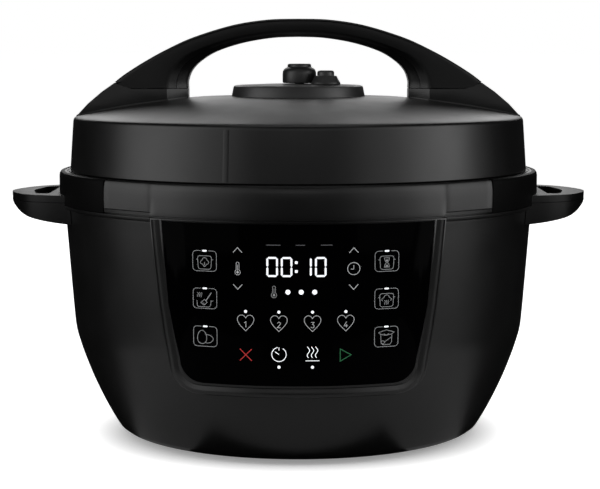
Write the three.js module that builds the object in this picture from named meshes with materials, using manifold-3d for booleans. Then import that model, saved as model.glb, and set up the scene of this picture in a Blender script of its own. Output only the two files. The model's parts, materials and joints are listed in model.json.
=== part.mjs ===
// Electric pressure cooker, millimetres, floor centre at the origin, +Z up,
// front panel facing -Y. Every physical piece is a node of its own.
import * as THREE from 'three';
import { mergeVertices } from 'three/addons/utils/BufferGeometryUtils.js';
import Module from 'manifold-3d';

const wasm = await Module();
wasm.setup();

// ---------------------------------------------------------------- dimensions
const BIG = 40;               // segments round the large turned pieces
const SMALL = 16;             // segments round the small ones
const GAP = 0.3;              // clearance between neighbouring pieces
const WALL = 3.0;             // housing wall
const FOOT_R = 11;
const FOOT_AT = 70;
const PLATE_R = 115.6;
const HOUSING_TOP = 185.1;
const COLLAR_R = 169.6;
const COLLAR_Z0 = 166.0;
const COLLAR_Z1 = 187.9;
const RECESS_A0 = 33.5;       // the stepped-back segments of the collar
const RECESS_A1 = 48.5;
const PANEL_R0 = 161.0;       // panel cone radius at PANEL_Z0
const PANEL_Z0 = 60.0;
const PANEL_SLOPE = 0.078;
const LINER_R = 139.0;
const LINER_TOP = 184.0;
const LUG_COUNT = 6;
const LUG_WIDTH = 26;         // degrees
const POT_R = 133.0;
const POT_FLOOR = 47.3;
const POT_TOP = 186.0;
const LID_Z0 = 188.3;
const ARCH_HALF_DEPTH = 19;
const VALVE_X = 0.8;
const BUTTON_X = 19.4;
const BUTTON_Y = -14;
const FLOAT_X = -3;
const FLOAT_Y = 27;
const PLATFORM_Z = 248.6;
const INLET_FACE = 146.0;
const DEG = Math.PI / 180;

// -------------------------------------------------------------------- solids
/** Turn a three.js geometry into an outward-facing manifold solid. */
function toSolid(geometry) {
  const plain = geometry.clone();
  plain.deleteAttribute('normal');
  plain.deleteAttribute('uv');
  const welded = mergeVertices(plain, 1e-4);
  const at = welded.attributes.position;
  const index = welded.index.array;
  const tris = [];
  let volume = 0;
  const a = new THREE.Vector3();
  const b = new THREE.Vector3();
  const c = new THREE.Vector3();
  for (let i = 0; i < index.length; i += 3) {
    const [p, q, r] = [index[i], index[i + 1], index[i + 2]];
    if (p === q || q === r || r === p) continue;
    a.fromBufferAttribute(at, p);
    b.fromBufferAttribute(at, q);
    c.fromBufferAttribute(at, r);
    volume += a.dot(b.clone().cross(c));
    tris.push(p, q, r);
  }
  if (volume < 0) {
    for (let i = 0; i < tris.length; i += 3) {
      const keep = tris[i + 1];
      tris[i + 1] = tris[i + 2];
      tris[i + 2] = keep;
    }
  }
  const mesh = new wasm.Mesh({
    numProp: 3,
    vertProperties: new Float32Array(at.array),
    triVerts: new Uint32Array(tris),
  });
  return new wasm.Manifold(mesh);
}

/** Turn a manifold solid back into a three.js geometry. */
function toGeometry(solid) {
  const mesh = solid.getMesh();
  const count = mesh.vertProperties.length / mesh.numProp;
  const flat = new Float32Array(count * 3);
  for (let i = 0; i < count; i += 1) {
    for (let k = 0; k < 3; k += 1) {
      flat[i * 3 + k] = mesh.vertProperties[i * mesh.numProp + k];
    }
  }
  const geometry = new THREE.BufferGeometry();
  geometry.setAttribute('position', new THREE.BufferAttribute(flat, 3));
  geometry.setIndex(new THREE.BufferAttribute(new Uint32Array(mesh.triVerts), 1));
  geometry.computeVertexNormals();
  return geometry;
}

/** Revolve [radius, z] points round Z; the profile closes on itself or on the axis. */
function turned(profile, segments = BIG) {
  const points = profile.map(([r, z]) => new THREE.Vector2(r, z));
  const first = profile[0];
  const last = profile[profile.length - 1];
  const onAxis = first[0] === 0 && last[0] === 0;
  if (!onAxis) points.push(new THREE.Vector2(first[0], first[1]));
  const geometry = new THREE.LatheGeometry(points, segments);
  geometry.rotateX(Math.PI / 2);
  return toSolid(geometry);
}

/** Rectangular ring round Z. */
function ring(inner, outer, z0, z1, segments = BIG) {
  return turned([[inner, z0], [outer, z0], [outer, z1], [inner, z1]], segments);
}

/** Upright cylinder. */
function disc(radius, z0, z1, x = 0, y = 0, segments = SMALL) {
  const geometry = new THREE.CylinderGeometry(radius, radius, z1 - z0, segments);
  geometry.rotateX(Math.PI / 2);
  geometry.translate(x, y, (z0 + z1) / 2);
  return toSolid(geometry);
}

/** Axis-aligned box from its two corners. */
function block(x0, x1, y0, y1, z0, z1) {
  const geometry = new THREE.BoxGeometry(x1 - x0, y1 - y0, z1 - z0);
  geometry.translate((x0 + x1) / 2, (y0 + y1) / 2, (z0 + z1) / 2);
  return toSolid(geometry);
}

/** Extrude an XY outline upwards from z0 to z1. */
function upright(outline, z0, z1) {
  const shape = new THREE.Shape(outline.map(([x, y]) => new THREE.Vector2(x, y)));
  const geometry = new THREE.ExtrudeGeometry(shape, { depth: z1 - z0, bevelEnabled: false });
  geometry.translate(0, 0, z0);
  return toSolid(geometry);
}

/** Extrude an XZ outline along Y from y0 to y1. */
function across(outline, y0, y1) {
  const shape = new THREE.Shape(outline.map(([x, z]) => new THREE.Vector2(x, z)));
  const geometry = new THREE.ExtrudeGeometry(shape, { depth: y1 - y0, bevelEnabled: false });
  geometry.rotateX(Math.PI / 2);
  geometry.translate(0, y1, 0);
  return toSolid(geometry);
}

/** Annular sector; angles in degrees from the front (-Y) towards +X. */
function sector(inner, outer, z0, z1, a0, a1, steps = 3) {
  const outline = [];
  for (let i = 0; i <= steps; i += 1) {
    const a = (a0 + ((a1 - a0) * i) / steps) * DEG;
    outline.push([outer * Math.sin(a), -outer * Math.cos(a)]);
  }
  for (let i = steps; i >= 0; i -= 1) {
    const a = (a0 + ((a1 - a0) * i) / steps) * DEG;
    outline.push([inner * Math.sin(a), -inner * Math.cos(a)]);
  }
  return upright(outline, z0, z1);
}

/** Points along a smooth curve through the given [x, y] points. */
function smooth(points, count) {
  const curve = new THREE.SplineCurve(points.map(([x, y]) => new THREE.Vector2(x, y)));
  return curve.getPoints(count).map((p) => [p.x, p.y]);
}

/** Mirror a right-hand half outline (x > 0 first, ending at x = 0) into a full one. */
function mirrored(half) {
  const left = half.slice(0, -1).map(([x, z]) => [-x, z]);
  return half.concat(left.reverse());
}

/** Move each point of an open polyline sideways by d. */
function offset(points, d) {
  return points.map(([x, z], i) => {
    const p = points[Math.max(i - 1, 0)];
    const q = points[Math.min(i + 1, points.length - 1)];
    const dx = q[0] - p[0];
    const dz = q[1] - p[1];
    const long = Math.hypot(dx, dz);
    return [x + (dz / long) * d, z - (dx / long) * d];
  });
}

/** Coil spring standing on z0. */
function coil(radius, wire, z0, z1, turns, x, y) {
  const path = [];
  const steps = turns * 10;
  for (let i = 0; i <= steps; i += 1) {
    const a = (i / 10) * 2 * Math.PI;
    const z = z0 + ((z1 - z0) * i) / steps;
    path.push(new THREE.Vector3(x + radius * Math.cos(a), y + radius * Math.sin(a), z));
  }
  const shape = new THREE.Shape();
  shape.absarc(0, 0, wire, 0, 2 * Math.PI, false);
  const geometry = new THREE.ExtrudeGeometry(shape, {
    steps,
    curveSegments: 4,
    extrudePath: new THREE.CatmullRomCurve3(path),
  });
  return toSolid(geometry);
}

// --------------------------------------------------------------------- base
/** Bowl-shaped plastic housing, open at the top, with panel window and inlet boss. */
function housing() {
  const skin = turned([
    [116, 3.0], [124.5, 3.4], [128.6, 4.9], [131.6, 7.8], [136.6, 16.6], [141.5, 25.5],
    [145.8, 34.4], [149.7, 43.2], [153.2, 52.1], [156.3, 60.9], [159.1, 69.7], [160.2, 74.1],
    [162.7, 104.8], [165.4, 139.7], [166.4, 164], [166.4, HOUSING_TOP],
    [166.4 - WALL, HOUSING_TOP], [163.4, 164], [162.4, 139.7], [159.7, 104.8], [157.1, 74.1],
    [153.2, 60.9], [146.5, 43.2], [138.1, 25.5], [131, 12], [127.5, 8.6],
    [107.5, 8.6], [107.5, 6.3], [116, 6.3],
  ]);
  const window = block(-80, 80, -175, -100, 60, 157);
  const face = block(-18.3, 18.3, INLET_FACE, 165, 11.2, 44.8);
  const socket = block(-14.5, 14.5, 100, 170, 14.5, 41.5);
  let solid = skin.subtract(window).subtract(face).subtract(socket);
  for (const [x, y] of screwSpots()) solid = solid.subtract(disc(2.2, 6, 9, x, y));
  return solid;
}

/** Square frame round the inlet, seated on the outside of the bowl. */
function inletSurround() {
  const clear = turned([[0, 5], [129.5, 5], [132.2, 7.9], [136.9, 16.6], [141.8, 25.5],
    [146.1, 34.4], [150, 43.2], [151.5, 47], [0, 47]]);
  return block(-18, 18, 128, INLET_FACE - 0.2, 11.5, 44.5).subtract(clear)
    .subtract(block(-14.5, 14.5, 100, 170, 14.5, 41.5));
}

/** Where the four base screws stand. */
function screwSpots() {
  return [45, 135, 225, 315].map((a) => [111.5 * Math.cos((a + 22) * DEG),
    111.5 * Math.sin((a + 22) * DEG)]);
}

/** Moulded ring above the housing: outer band, top flange and condensate trough. */
function collar() {
  let solid = turned([
    [166.8, COLLAR_Z0], [169.4, COLLAR_Z0], [COLLAR_R, 178.7], [169.1, 185.8], [167.6, COLLAR_Z1],
    [150.2, COLLAR_Z1], [150.2, 170.5], [139.9, 170.5], [139.9, 168], [152.7, 168],
    [152.7, 185.4], [166.8, 185.4],
  ]);
  for (const a0 of [RECESS_A0, -RECESS_A1, 180 - RECESS_A1, 180 + RECESS_A0]) {
    const cut = sector(168, 175, COLLAR_Z0 - 1, COLLAR_Z1 + 1, a0, a0 + RECESS_A1 - RECESS_A0);
    solid = solid.subtract(cut);
  }
  return solid;
}

/** Flat plate closing the underside, with posts for the power board. */
function basePlate() {
  let solid = turned([[0, 3.4], [PLATE_R, 3.4], [PLATE_R, 6], [0, 6]]);
  for (const [x, y] of [[-72, -22], [-12, -22], [-72, 22], [-12, 22]]) {
    solid = solid.add(disc(3, 5, 13.7, x, y, 12));
  }
  for (const [x, y] of screwSpots()) solid = solid.subtract(disc(2.2, 3, 7, x, y));
  return solid;
}

/** Rubber foot under the base plate. */
function foot(x, y) {
  return turned([[0, 0], [FOOT_R - 1, 0], [FOOT_R, 1], [FOOT_R, 3.1], [0, 3.1]], 20)
    .translate([x, y, 0]);
}

/** Pan-head screw driven upwards; z is the underside of the head's seat. */
function screw(x, y, z, head, shank, length) {
  return turned([[0, z - 1.6], [head, z - 1.6], [head, z], [shank, z], [shank, z + length],
    [0, z + length]], 12).translate([x, y, 0]);
}

// -------------------------------------------------------------------- panel
/** Radius of the panel cone at height z. */
function panelRadius(z) {
  return PANEL_R0 + (z - PANEL_Z0) * PANEL_SLOPE;
}

/** Panel outline in XZ: half width at top and bottom, heights and corner radius. */
function panelOutline(halfTop, halfMid, halfLow, z0, z1, corner, grow) {
  const zMid = 109.5;
  const half = [[halfTop + grow, z1 + grow], [halfMid + grow, zMid], [halfLow + grow, z0 + corner]];
  for (let i = 1; i <= 4; i += 1) {
    const a = (i / 4) * (Math.PI / 2);
    half.push([halfLow + grow - corner * (1 - Math.cos(a)),
      z0 - grow + (corner + grow) * (1 - Math.sin(a))]);
  }
  const left = half.map(([x, z]) => [-x, z]).reverse();
  return half.concat(left);
}

/** Shell following the panel cone between two depths behind its face. */
function panelShell(deep, shallow, z0, z1) {
  return turned([
    [panelRadius(z0) - deep, z0], [panelRadius(z0) - shallow, z0],
    [panelRadius(z1) - shallow, z1], [panelRadius(z1) - deep, z1],
  ]);
}

/** Raised frame round the glass, bevelled along its lower edge. */
function bezel() {
  const front = panelOutline(93.3, 89, 83.2, 50.2, 165.2, 20, 0);
  const opening = panelOutline(87, 83.2, 76, 59, 162.6, 14.5, 0.3);
  const shell = turned([
    [153.4, 50], [panelRadius(58.5), 58.5], [panelRadius(165.4), 165.4],
    [166.9, 165.4], [166.9, 162], [165.9, 139.7], [163.2, 104.8], [160.7, 74.1], [156.8, 60.9],
    [153.0, 50],
  ]);
  return shell.intersect(across(front, -180, -100)).subtract(across(opening, -190, -90));
}

/** Curved black glass filling the bezel. */
function glass() {
  const outline = panelOutline(87, 83.2, 76, 59, 162.6, 14.5, 0);
  return panelShell(1.5, 0, 55, 164).intersect(across(outline, -180, -100));
}

/** Plate hanging behind the glass that carries the display board. */
function displayTray() {
  return block(-62, 62, -146.1, -143.9, 66, 167.7);
}

/** Printed circuit board behind the glass. */
function displayBoard() {
  return block(-58, 58, -148, -146.4, 72, 155);
}

/** Seven-segment light block on the board. */
function ledDisplay() {
  return block(-33, 33, -157, -148.3, 124, 146);
}

// ------------------------------------------------------------- side handles
/** Whole right-hand side handle: plan outline cut to the end-on profile. */
function sideHandle() {
  const edge = smooth([[140, -60], [164, -53.5], [178, -48], [189, -40], [197, -28],
    [202.6, -14], [204.8, 0], [202.6, 14], [197, 28], [189, 40], [178, 48], [164, 53.5],
    [140, 60]], 24);
  const plan = upright(edge, 145, 182);
  const profile = across([[140, 151.5], [167, 153.6], [185, 156.3], [194, 159.4],
    [199.5, 163], [203, 165.6], [204.8, 168.2], [204.2, 170.4], [201.5, 172.2], [199, 172.5],
    [140, 173]], -90, 90);
  const slot = smooth([[174.5, 0], [174.5, 26], [178, 34.5], [184, 32.5], [188.6, 22],
    [190.4, 0], [188.6, -22], [184, -32.5], [178, -34.5], [174.5, -26], [174.5, 0]], 30)
    .slice(0, -1);
  const body = turned([[0, 130], [166.4, 130], [166.9, 165.6], [COLLAR_R + 0.4, 165.7],
    [COLLAR_R + 0.4, 190], [0, 190]]);
  return plan.intersect(profile).subtract(upright(slot, 140, 190)).subtract(body);
}

/** One piece of a side handle between two heights, on the given side. */
function handlePiece(side, z0, z1) {
  const piece = sideHandle().intersect(block(100, 240, -120, 120, z0, z1));
  return side > 0 ? piece : piece.rotate([0, 0, 180]);
}

// ----------------------------------------------------------------- interior
/** Steel liner round the pot, with the outward locking lugs. */
function outerPot() {
  let solid = turned([
    [LINER_R - 1.5, LINER_TOP], [LINER_R, LINER_TOP], [LINER_R, 58], [134, 45], [124, 38],
    [22, 38], [22, 39.4], [123.5, 39.4], [132.5, 46], [LINER_R - 1.5, 59],
  ]);
  for (let i = 0; i < LUG_COUNT; i += 1) {
    const mid = (i * 360) / LUG_COUNT;
    const lug = sector(LINER_R - 0.8, 146, 178, 180.5, mid - LUG_WIDTH / 2, mid + LUG_WIDTH / 2);
    solid = solid.add(lug);
  }
  return solid;
}

/** Cast heating plate with a hole for the sensor. */
function heatingPlate() {
  return turned([[16, 39.8], [106, 39.8], [108, 42], [106, 46], [102, 47], [16, 47]]);
}

/** Spring-loaded temperature sensor touching the pot floor. */
function sensor() {
  return turned([[0, 36], [12.5, 36], [12.5, 37.4], [9, 37.4], [9, 45.8], [7.8, 47], [0, 47]], 24);
}

/** Strap under the liner carrying the sensor spring. */
function sensorBracket() {
  const strap = block(-34, 34, -9, 9, 24, 26);
  const left = block(-36, -34, -9, 9, 24, 37.7);
  const right = block(34, 36, -9, 9, 24, 37.7);
  return strap.add(left).add(right);
}

/** Removable inner pot with a rolled-out rim. */
function innerPot() {
  return turned([
    [0, POT_FLOOR], [100, POT_FLOOR], [118, 49.3], [128, 55], [POT_R, 67], [POT_R, 184.3],
    [138.6, 184.3], [138.6, POT_TOP], [131.5, POT_TOP], [131.5, 67.5], [126.8, 56.6],
    [117.4, 51.2], [100, 49.3], [0, 49.3],
  ]);
}

/** Mains inlet with its socket cavity. */
function powerInlet() {
  const body = block(-14.2, 14.2, 130.5, INLET_FACE, 14.8, 41.2);
  const cavity = block(-12, 12, INLET_FACE - 14, INLET_FACE + 5, 19.8, 36.2);
  return body.subtract(cavity);
}

/** One contact pin of the inlet. */
function inletPin(x, z) {
  return block(x - 1, x + 1, INLET_FACE - 13.7, INLET_FACE - 4, z - 2, z + 2);
}

// ---------------------------------------------------------------------- lid
/** Domed lid cover with the screw bosses for the inner lid. */
function lidCover() {
  let solid = turned([
    [163.5, LID_Z0], [161, 224], [160, 225.3], [158, 226], [150, 228], [128, 232.3],
    [100, 236.5], [75, 239], [44, 239.8], [44, 237.3], [75, 236.5], [100, 234], [128, 229.8],
    [150, 225.5], [157.5, 223], [160.9, LID_Z0],
  ]);
  for (const [x, y] of lidScrewSpots()) {
    solid = solid.add(disc(5, 200.6, 234.5, x, y, 12)).subtract(disc(2.2, 195, 212, x, y, 12));
  }
  return solid;
}

/** Block seated on the dome under one end of the handle arch. */
function handleMount(side) {
  const clear = turned([[0, 200], [163.9, 200], [161.3, 224.2], [160.3, 225.6], [158.1, 226.3],
    [150.1, 228.3], [128.1, 232.6], [100, 236.8], [75, 239.3], [0, 240.3]]);
  const outline = [[78, 245.2], [117, 245.2], [129.2, 249.5], [138.2, 243.5], [148.2, 235.1],
    [155.8, 226.7], [156.8, 220], [78, 220]];
  const mount = across(outline, -ARCH_HALF_DEPTH, ARCH_HALF_DEPTH).subtract(clear);
  return side > 0 ? mount : mount.rotate([0, 0, 180]);
}

/** Where the three inner-lid screws stand. */
function lidScrewSpots() {
  return [90, 210, 330].map((a) => [110 * Math.cos(a * DEG), 110 * Math.sin(a * DEG)]);
}

/** Inner curve of the handle opening, right leg up to the crown. */
function openingCurve() {
  return smooth([[78, 245.6], [78.1, 251], [74.2, 260], [64, 268.4], [42, 277], [18, 281.1],
    [0, 281.8]], 14);
}

/** Arched carrying handle. */
function handleArch() {
  const outer = smooth([[129.4, 250.2], [101, 268.6], [74, 281.6], [46, 290.2], [22, 294],
    [0, 294.7]], 12);
  const foot0 = [[81.9, 245.6], [117, 245.6]];
  const inner = offset(openingCurve(), 3.8);
  inner[0] = [81.9, 245.6];
  inner[inner.length - 1][0] = 0;
  const rightOut = foot0.slice(1).concat(outer);
  const leftOut = rightOut.slice(0, -1).map(([x, z]) => [-x, z]).reverse();
  const leftIn = inner.slice(0, -1).map(([x, z]) => [-x, z]);
  const rightIn = inner.slice().reverse();
  return across(rightOut.concat(leftOut, leftIn, rightIn.slice(0, -1), [inner[0]]),
    -ARCH_HALF_DEPTH, ARCH_HALF_DEPTH);
}

/** Strip closing the underside of the arch. */
function handleUnderside() {
  const low = openingCurve();
  const high = offset(low, 3.5);
  high[0] = [81.5, 245.6];
  high[high.length - 1][0] = 0;
  const outer = high.concat(high.slice(0, -1).map(([x, z]) => [-x, z]).reverse());
  const inner = low.concat(low.slice(0, -1).map(([x, z]) => [-x, z]).reverse());
  return across(outer.concat(inner.reverse()), -ARCH_HALF_DEPTH + 2, ARCH_HALF_DEPTH - 2);
}

/** Round platform on top of the lid that carries the valves. */
function valvePlatform() {
  const plate = turned([
    [0, 245.8], [25, 245.6], [41, 244.6], [44.8, 240.3], [47.5, 240.3], [45.4, 246.5],
    [42, 247.4], [25, 248.4], [0, PLATFORM_Z],
  ], 32);
  return plate.add(disc(8.8, 239.6, 246.2, BUTTON_X, BUTTON_Y, 20))
    .subtract(disc(4.2, 230, 260, VALVE_X, 0))
    .subtract(disc(6.6, 241, 260, BUTTON_X, BUTTON_Y, 20))
    .subtract(disc(2.6, 230, 260, BUTTON_X, BUTTON_Y))
    .subtract(disc(3.2, 230, 260, FLOAT_X, FLOAT_Y));
}

/** Weighted steam release valve cap, bored from below. */
function steamValve() {
  return turned([
    [4.3, 249], [11.4, 249], [12, 250], [12, 257.8], [11, 259.3], [7.8, 259.6], [7.5, 262.4],
    [7, 262.8], [0, 262.8], [0, 258.4], [4.3, 258.4],
  ].reverse(), 24).translate([VALVE_X, 0, 0]);
}

/** Steam pipe through the lid, with the flange that clamps the inner lid. */
function steamPipe() {
  return turned([
    [1.6, 198], [3.4, 198], [3.4, 205.4], [9, 205.4], [9, 207], [3.4, 207], [3.4, 256],
    [2.4, 258], [1.6, 258],
  ], SMALL).translate([VALVE_X, 0, 0]);
}

/** Domed ring round the quick-release button. */
function buttonBase() {
  return turned([[6.6, 249], [11, 249], [10.4, 250.6], [8.6, 252], [6.6, 252.3]], 20)
    .translate([BUTTON_X, BUTTON_Y, 0]);
}

/** Quick-release button with a guide stem. */
function quickButton() {
  return turned([[0, 240.2], [2.2, 240.2], [2.2, 246.8], [6, 246.8], [6, 257], [5.2, 258.2],
    [0, 258.2]], 20).translate([BUTTON_X, BUTTON_Y, 0]);
}

/** Float pin that rises when the cooker is under pressure. */
function floatPin() {
  return turned([[0, 195.9], [1.2, 195.9], [1.2, 199], [2.6, 200], [2.6, 247.6], [2, 248],
    [0, 248]], 12)
    .translate([FLOAT_X, FLOAT_Y, 0]);
}

/** Soft cap on the lower end of the float pin. */
function floatCap() {
  return turned([[0, 192.4], [4, 192.4], [5, 193.9], [5, 198.5], [1.5, 198.5], [1.5, 195.6],
    [0, 195.6]], 12).translate([FLOAT_X, FLOAT_Y, 0]);
}

/** Steel inner lid with inward locking lugs. */
function innerLid() {
  let solid = turned([
    [0, 205], [60, 204], [110, 200.2], [140, 197], [147, 193], [148.8, 188], [148.8, 172],
    [147.3, 172], [147.3, 187.6], [145.8, 191.8], [139.5, 195.5], [110, 198.7], [60, 202.5],
    [0, 203.5],
  ]);
  for (let i = 0; i < LUG_COUNT; i += 1) {
    const mid = (i * 360) / LUG_COUNT;
    const lug = sector(140.5, 148, 173.5, 176, mid - LUG_WIDTH / 2, mid + LUG_WIDTH / 2);
    solid = solid.add(lug);
  }
  solid = solid.subtract(disc(3.9, 190, 210, VALVE_X, 0));
  solid = solid.subtract(disc(3.1, 190, 210, FLOAT_X, FLOAT_Y));
  for (const [x, y] of lidScrewSpots()) solid = solid.subtract(disc(2.2, 190, 210, x, y, 12));
  return solid;
}

/** Silicone sealing ring between pot rim and inner lid. */
function sealingRing() {
  return turned([[127.6, 188.4], [129, 186.4], [138.8, 186.4], [139.3, 188], [139.3, 194],
    [138.6, 195], [136.4, 195], [135.8, 190.6], [129.8, 190.6]]);
}

/** Wire rack that holds the sealing ring in the lid. */
function ringRack() {
  return turned([[132.6, 191.2], [133.8, 192], [133.8, 193.6], [132.6, 194.4], [131.4, 193.6],
    [131.4, 192]]);
}

/** Slotted cup under the steam pipe. */
function antiBlockShield() {
  const cup = turned([[0, 190], [14, 190], [15, 191], [15, 202.6], [13.8, 202.6], [13.8, 191.4],
    [0, 191.4]], 24);
  let solid = cup;
  for (const a of [0, 60, 120]) {
    solid = solid.subtract(block(-20, 20, -1.5, 1.5, 193, 200).rotate([0, 0, a]));
  }
  return solid.translate([VALVE_X, 0, 0]);
}

// ----------------------------------------------------------------- assembly
const LOOKS = {
  black: new THREE.MeshStandardMaterial({ color: 0x1c1c1d, roughness: 0.5 }),
  dark: new THREE.MeshStandardMaterial({ color: 0x0f0f10, roughness: 0.4 }),
  glass: new THREE.MeshStandardMaterial({ color: 0x030304, roughness: 0.08 }),
  steel: new THREE.MeshStandardMaterial({ color: 0xb9bcc0, metalness: 1, roughness: 0.35 }),
  alloy: new THREE.MeshStandardMaterial({ color: 0xa4a6a8, metalness: 1, roughness: 0.5 }),
  rubber: new THREE.MeshStandardMaterial({ color: 0x151515, roughness: 0.9 }),
  silicone: new THREE.MeshStandardMaterial({ color: 0xe4e4e0, roughness: 0.6 }),
  board: new THREE.MeshStandardMaterial({ color: 0x1c5a30, roughness: 0.6 }),
  brass: new THREE.MeshStandardMaterial({ color: 0xb08a3c, metalness: 1, roughness: 0.4 }),
  light: new THREE.MeshStandardMaterial({ color: 0xe8edf2, roughness: 0.4 }),
};

const group = new THREE.Group();
group.name = 'pressure_cooker';

/** Add one named piece to the assembly. */
function add(name, solid, look) {
  const mesh = new THREE.Mesh(toGeometry(solid), LOOKS[look]);
  mesh.name = name;
  group.add(mesh);
}

add('outer_housing', housing(), 'black');
add('upper_collar', collar(), 'black');
add('panel_bezel', bezel(), 'dark');
add('control_panel_glass', glass(), 'glass');
add('display_tray', displayTray(), 'dark');
add('display_board', displayBoard(), 'board');
add('led_display', ledDisplay(), 'light');
for (const [name, side] of [['right', 1], ['left', -1]]) {
  add(`${name}_handle_cover`, handlePiece(side, 167.85, 200), 'black');
  add(`${name}_handle_grip`, handlePiece(side, 100, 167.55), 'dark');
}
add('base_plate', basePlate(), 'black');
[[-1, -1], [1, -1], [1, 1], [-1, 1]].forEach(([sx, sy], i) => {
  add(`foot_${i + 1}`, foot(sx * FOOT_AT, sy * FOOT_AT), 'rubber');
});
screwSpots().forEach(([x, y], i) => {
  add(`base_screw_${i + 1}`, screw(x, y, 3.1, 3.8, 1.8, 6), 'steel');
});
add('outer_pot', outerPot(), 'steel');
add('heating_plate', heatingPlate(), 'alloy');
add('temperature_sensor', sensor(), 'alloy');
add('sensor_spring', coil(6, 0.6, 26.9, 35, 4, 0, 0), 'steel');
add('sensor_bracket', sensorBracket(), 'steel');
add('thermal_fuse', block(-62, -42, -4, 4, 32, 37.7), 'light');
add('pressure_switch', block(42, 66, -9, 9, 27, 37.7), 'dark');
add('power_board', block(-76, -8, -27, 27, 14, 15.6), 'board');
add('power_relay', block(-38, -14, -22, -4, 15.9, 23), 'dark');
add('transformer', block(-72, -46, -22, -2, 15.9, 30), 'dark');
add('capacitor', disc(6, 15.9, 30, -52, 12), 'alloy');
add('inlet_surround', inletSurround(), 'black');
add('power_inlet', powerInlet(), 'dark');
add('inlet_pin_live', inletPin(7, 26.5), 'brass');
add('inlet_pin_neutral', inletPin(-7, 26.5), 'brass');
add('inlet_pin_earth', inletPin(0, 30.5), 'brass');
add('inner_pot', innerPot(), 'steel');
add('sealing_ring', sealingRing(), 'silicone');
add('ring_rack', ringRack(), 'steel');
add('inner_lid', innerLid(), 'steel');
add('lid_cover', lidCover(), 'black');
lidScrewSpots().forEach(([x, y], i) => {
  add(`lid_screw_${i + 1}`, screw(x, y, 197.9, 4, 1.8, 12), 'steel');
});
add('anti_block_shield', antiBlockShield(), 'steel');
add('steam_pipe', steamPipe(), 'steel');
add('right_handle_mount', handleMount(1), 'black');
add('left_handle_mount', handleMount(-1), 'black');
add('handle_arch', handleArch(), 'black');
add('handle_underside', handleUnderside(), 'dark');
add('valve_platform', valvePlatform(), 'dark');
add('steam_valve', steamValve(), 'black');
add('button_base', buttonBase(), 'dark');
add('quick_release_button', quickButton(), 'black');
add('button_spring', coil(4, 0.4, 241.8, 246.0, 3, BUTTON_X, BUTTON_Y), 'steel');
add('float_valve', floatPin(), 'steel');
add('float_valve_cap', floatCap(), 'silicone');

export default group;
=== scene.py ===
"""Looks for a wide electric pressure cooker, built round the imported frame.

Metres throughout, floor centre at the origin, +Z up and the panel facing -Y.
Each sub-assembly is a class whose fields are its sizes in millimetres.
"""

from __future__ import annotations

import json
import logging
import math
from dataclasses import dataclass, field
from enum import Enum
from typing import Callable, Iterable, Sequence

import bmesh
import bpy
from mathutils import Matrix, Vector

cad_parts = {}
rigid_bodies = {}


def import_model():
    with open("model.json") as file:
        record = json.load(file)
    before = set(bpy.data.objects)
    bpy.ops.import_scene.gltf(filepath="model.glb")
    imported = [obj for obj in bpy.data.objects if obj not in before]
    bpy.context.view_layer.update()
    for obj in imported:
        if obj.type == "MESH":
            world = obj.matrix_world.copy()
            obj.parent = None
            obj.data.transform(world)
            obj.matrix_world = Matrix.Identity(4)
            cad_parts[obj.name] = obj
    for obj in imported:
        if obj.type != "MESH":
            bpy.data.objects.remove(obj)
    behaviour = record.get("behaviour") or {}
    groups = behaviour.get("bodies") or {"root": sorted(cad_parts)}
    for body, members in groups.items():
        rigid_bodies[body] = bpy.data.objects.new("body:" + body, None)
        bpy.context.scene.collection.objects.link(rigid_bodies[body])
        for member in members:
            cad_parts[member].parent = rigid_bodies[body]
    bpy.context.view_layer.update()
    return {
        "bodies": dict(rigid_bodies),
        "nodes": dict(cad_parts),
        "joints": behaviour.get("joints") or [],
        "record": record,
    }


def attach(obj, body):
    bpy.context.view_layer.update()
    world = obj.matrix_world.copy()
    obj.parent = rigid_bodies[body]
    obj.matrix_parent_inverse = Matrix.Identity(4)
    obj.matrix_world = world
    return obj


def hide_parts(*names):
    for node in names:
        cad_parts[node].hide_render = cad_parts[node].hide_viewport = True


LOG = logging.getLogger("pressure_cooker")
MM = 0.001
Point2 = tuple[float, float]
Point3 = tuple[float, float, float]
Material = bpy.types.Material
Piece = bpy.types.Object
Socket = bpy.types.NodeSocket


class Body(str, Enum):
    """The moving bodies a piece can ride on."""

    BASE = "cooker_base"
    SEAL = "seal"
    LID = "lid"
    VALVE = "release_valve"
    BUTTON = "release_button"
    FLOAT = "float_pin"
    POT = "cooking_pot"
    SENSOR = "pot_sensor"


class Slot(str, Enum):
    """Material slots of the record."""

    BODY = "body_black"
    TRIM = "trim_black"
    GLASS = "panel_glass"
    LIGHT = "display_light"
    FOOT = "foot_rubber"
    STEEL = "steel"
    ALLOY = "cast_alloy"
    SILICONE = "silicone"
    BRASS = "brass"


# ------------------------------------------------------------------ finishes
def _nodes(name: str) -> tuple[Material, bpy.types.NodeTree, bpy.types.Node]:
    """Start a node material.

    Args:
        name: Name of the material.

    Returns:
        The material, its node tree and its principled shader.
    """
    material = bpy.data.materials.new(name)
    material.use_nodes = True
    tree = material.node_tree
    return material, tree, tree.nodes["Principled BSDF"]


def _noise(tree: bpy.types.NodeTree, scale: float, detail: float, stretch: Point3 = (1, 1, 1)
           ) -> Socket:
    """Add noise in object space.

    Args:
        tree: Node tree to add to.
        scale: Noise scale, per metre.
        detail: Octaves of detail.
        stretch: Scale along each axis, for grain with a direction.

    Returns:
        The noise factor socket.
    """
    place = tree.nodes.new("ShaderNodeTexCoord")
    turn = tree.nodes.new("ShaderNodeMapping")
    turn.inputs["Scale"].default_value = stretch
    noise = tree.nodes.new("ShaderNodeTexNoise")
    noise.inputs["Scale"].default_value = scale
    noise.inputs["Detail"].default_value = detail
    tree.links.new(place.outputs["Object"], turn.inputs["Vector"])
    tree.links.new(turn.outputs["Vector"], noise.inputs["Vector"])
    return noise.outputs["Fac"]


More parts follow.
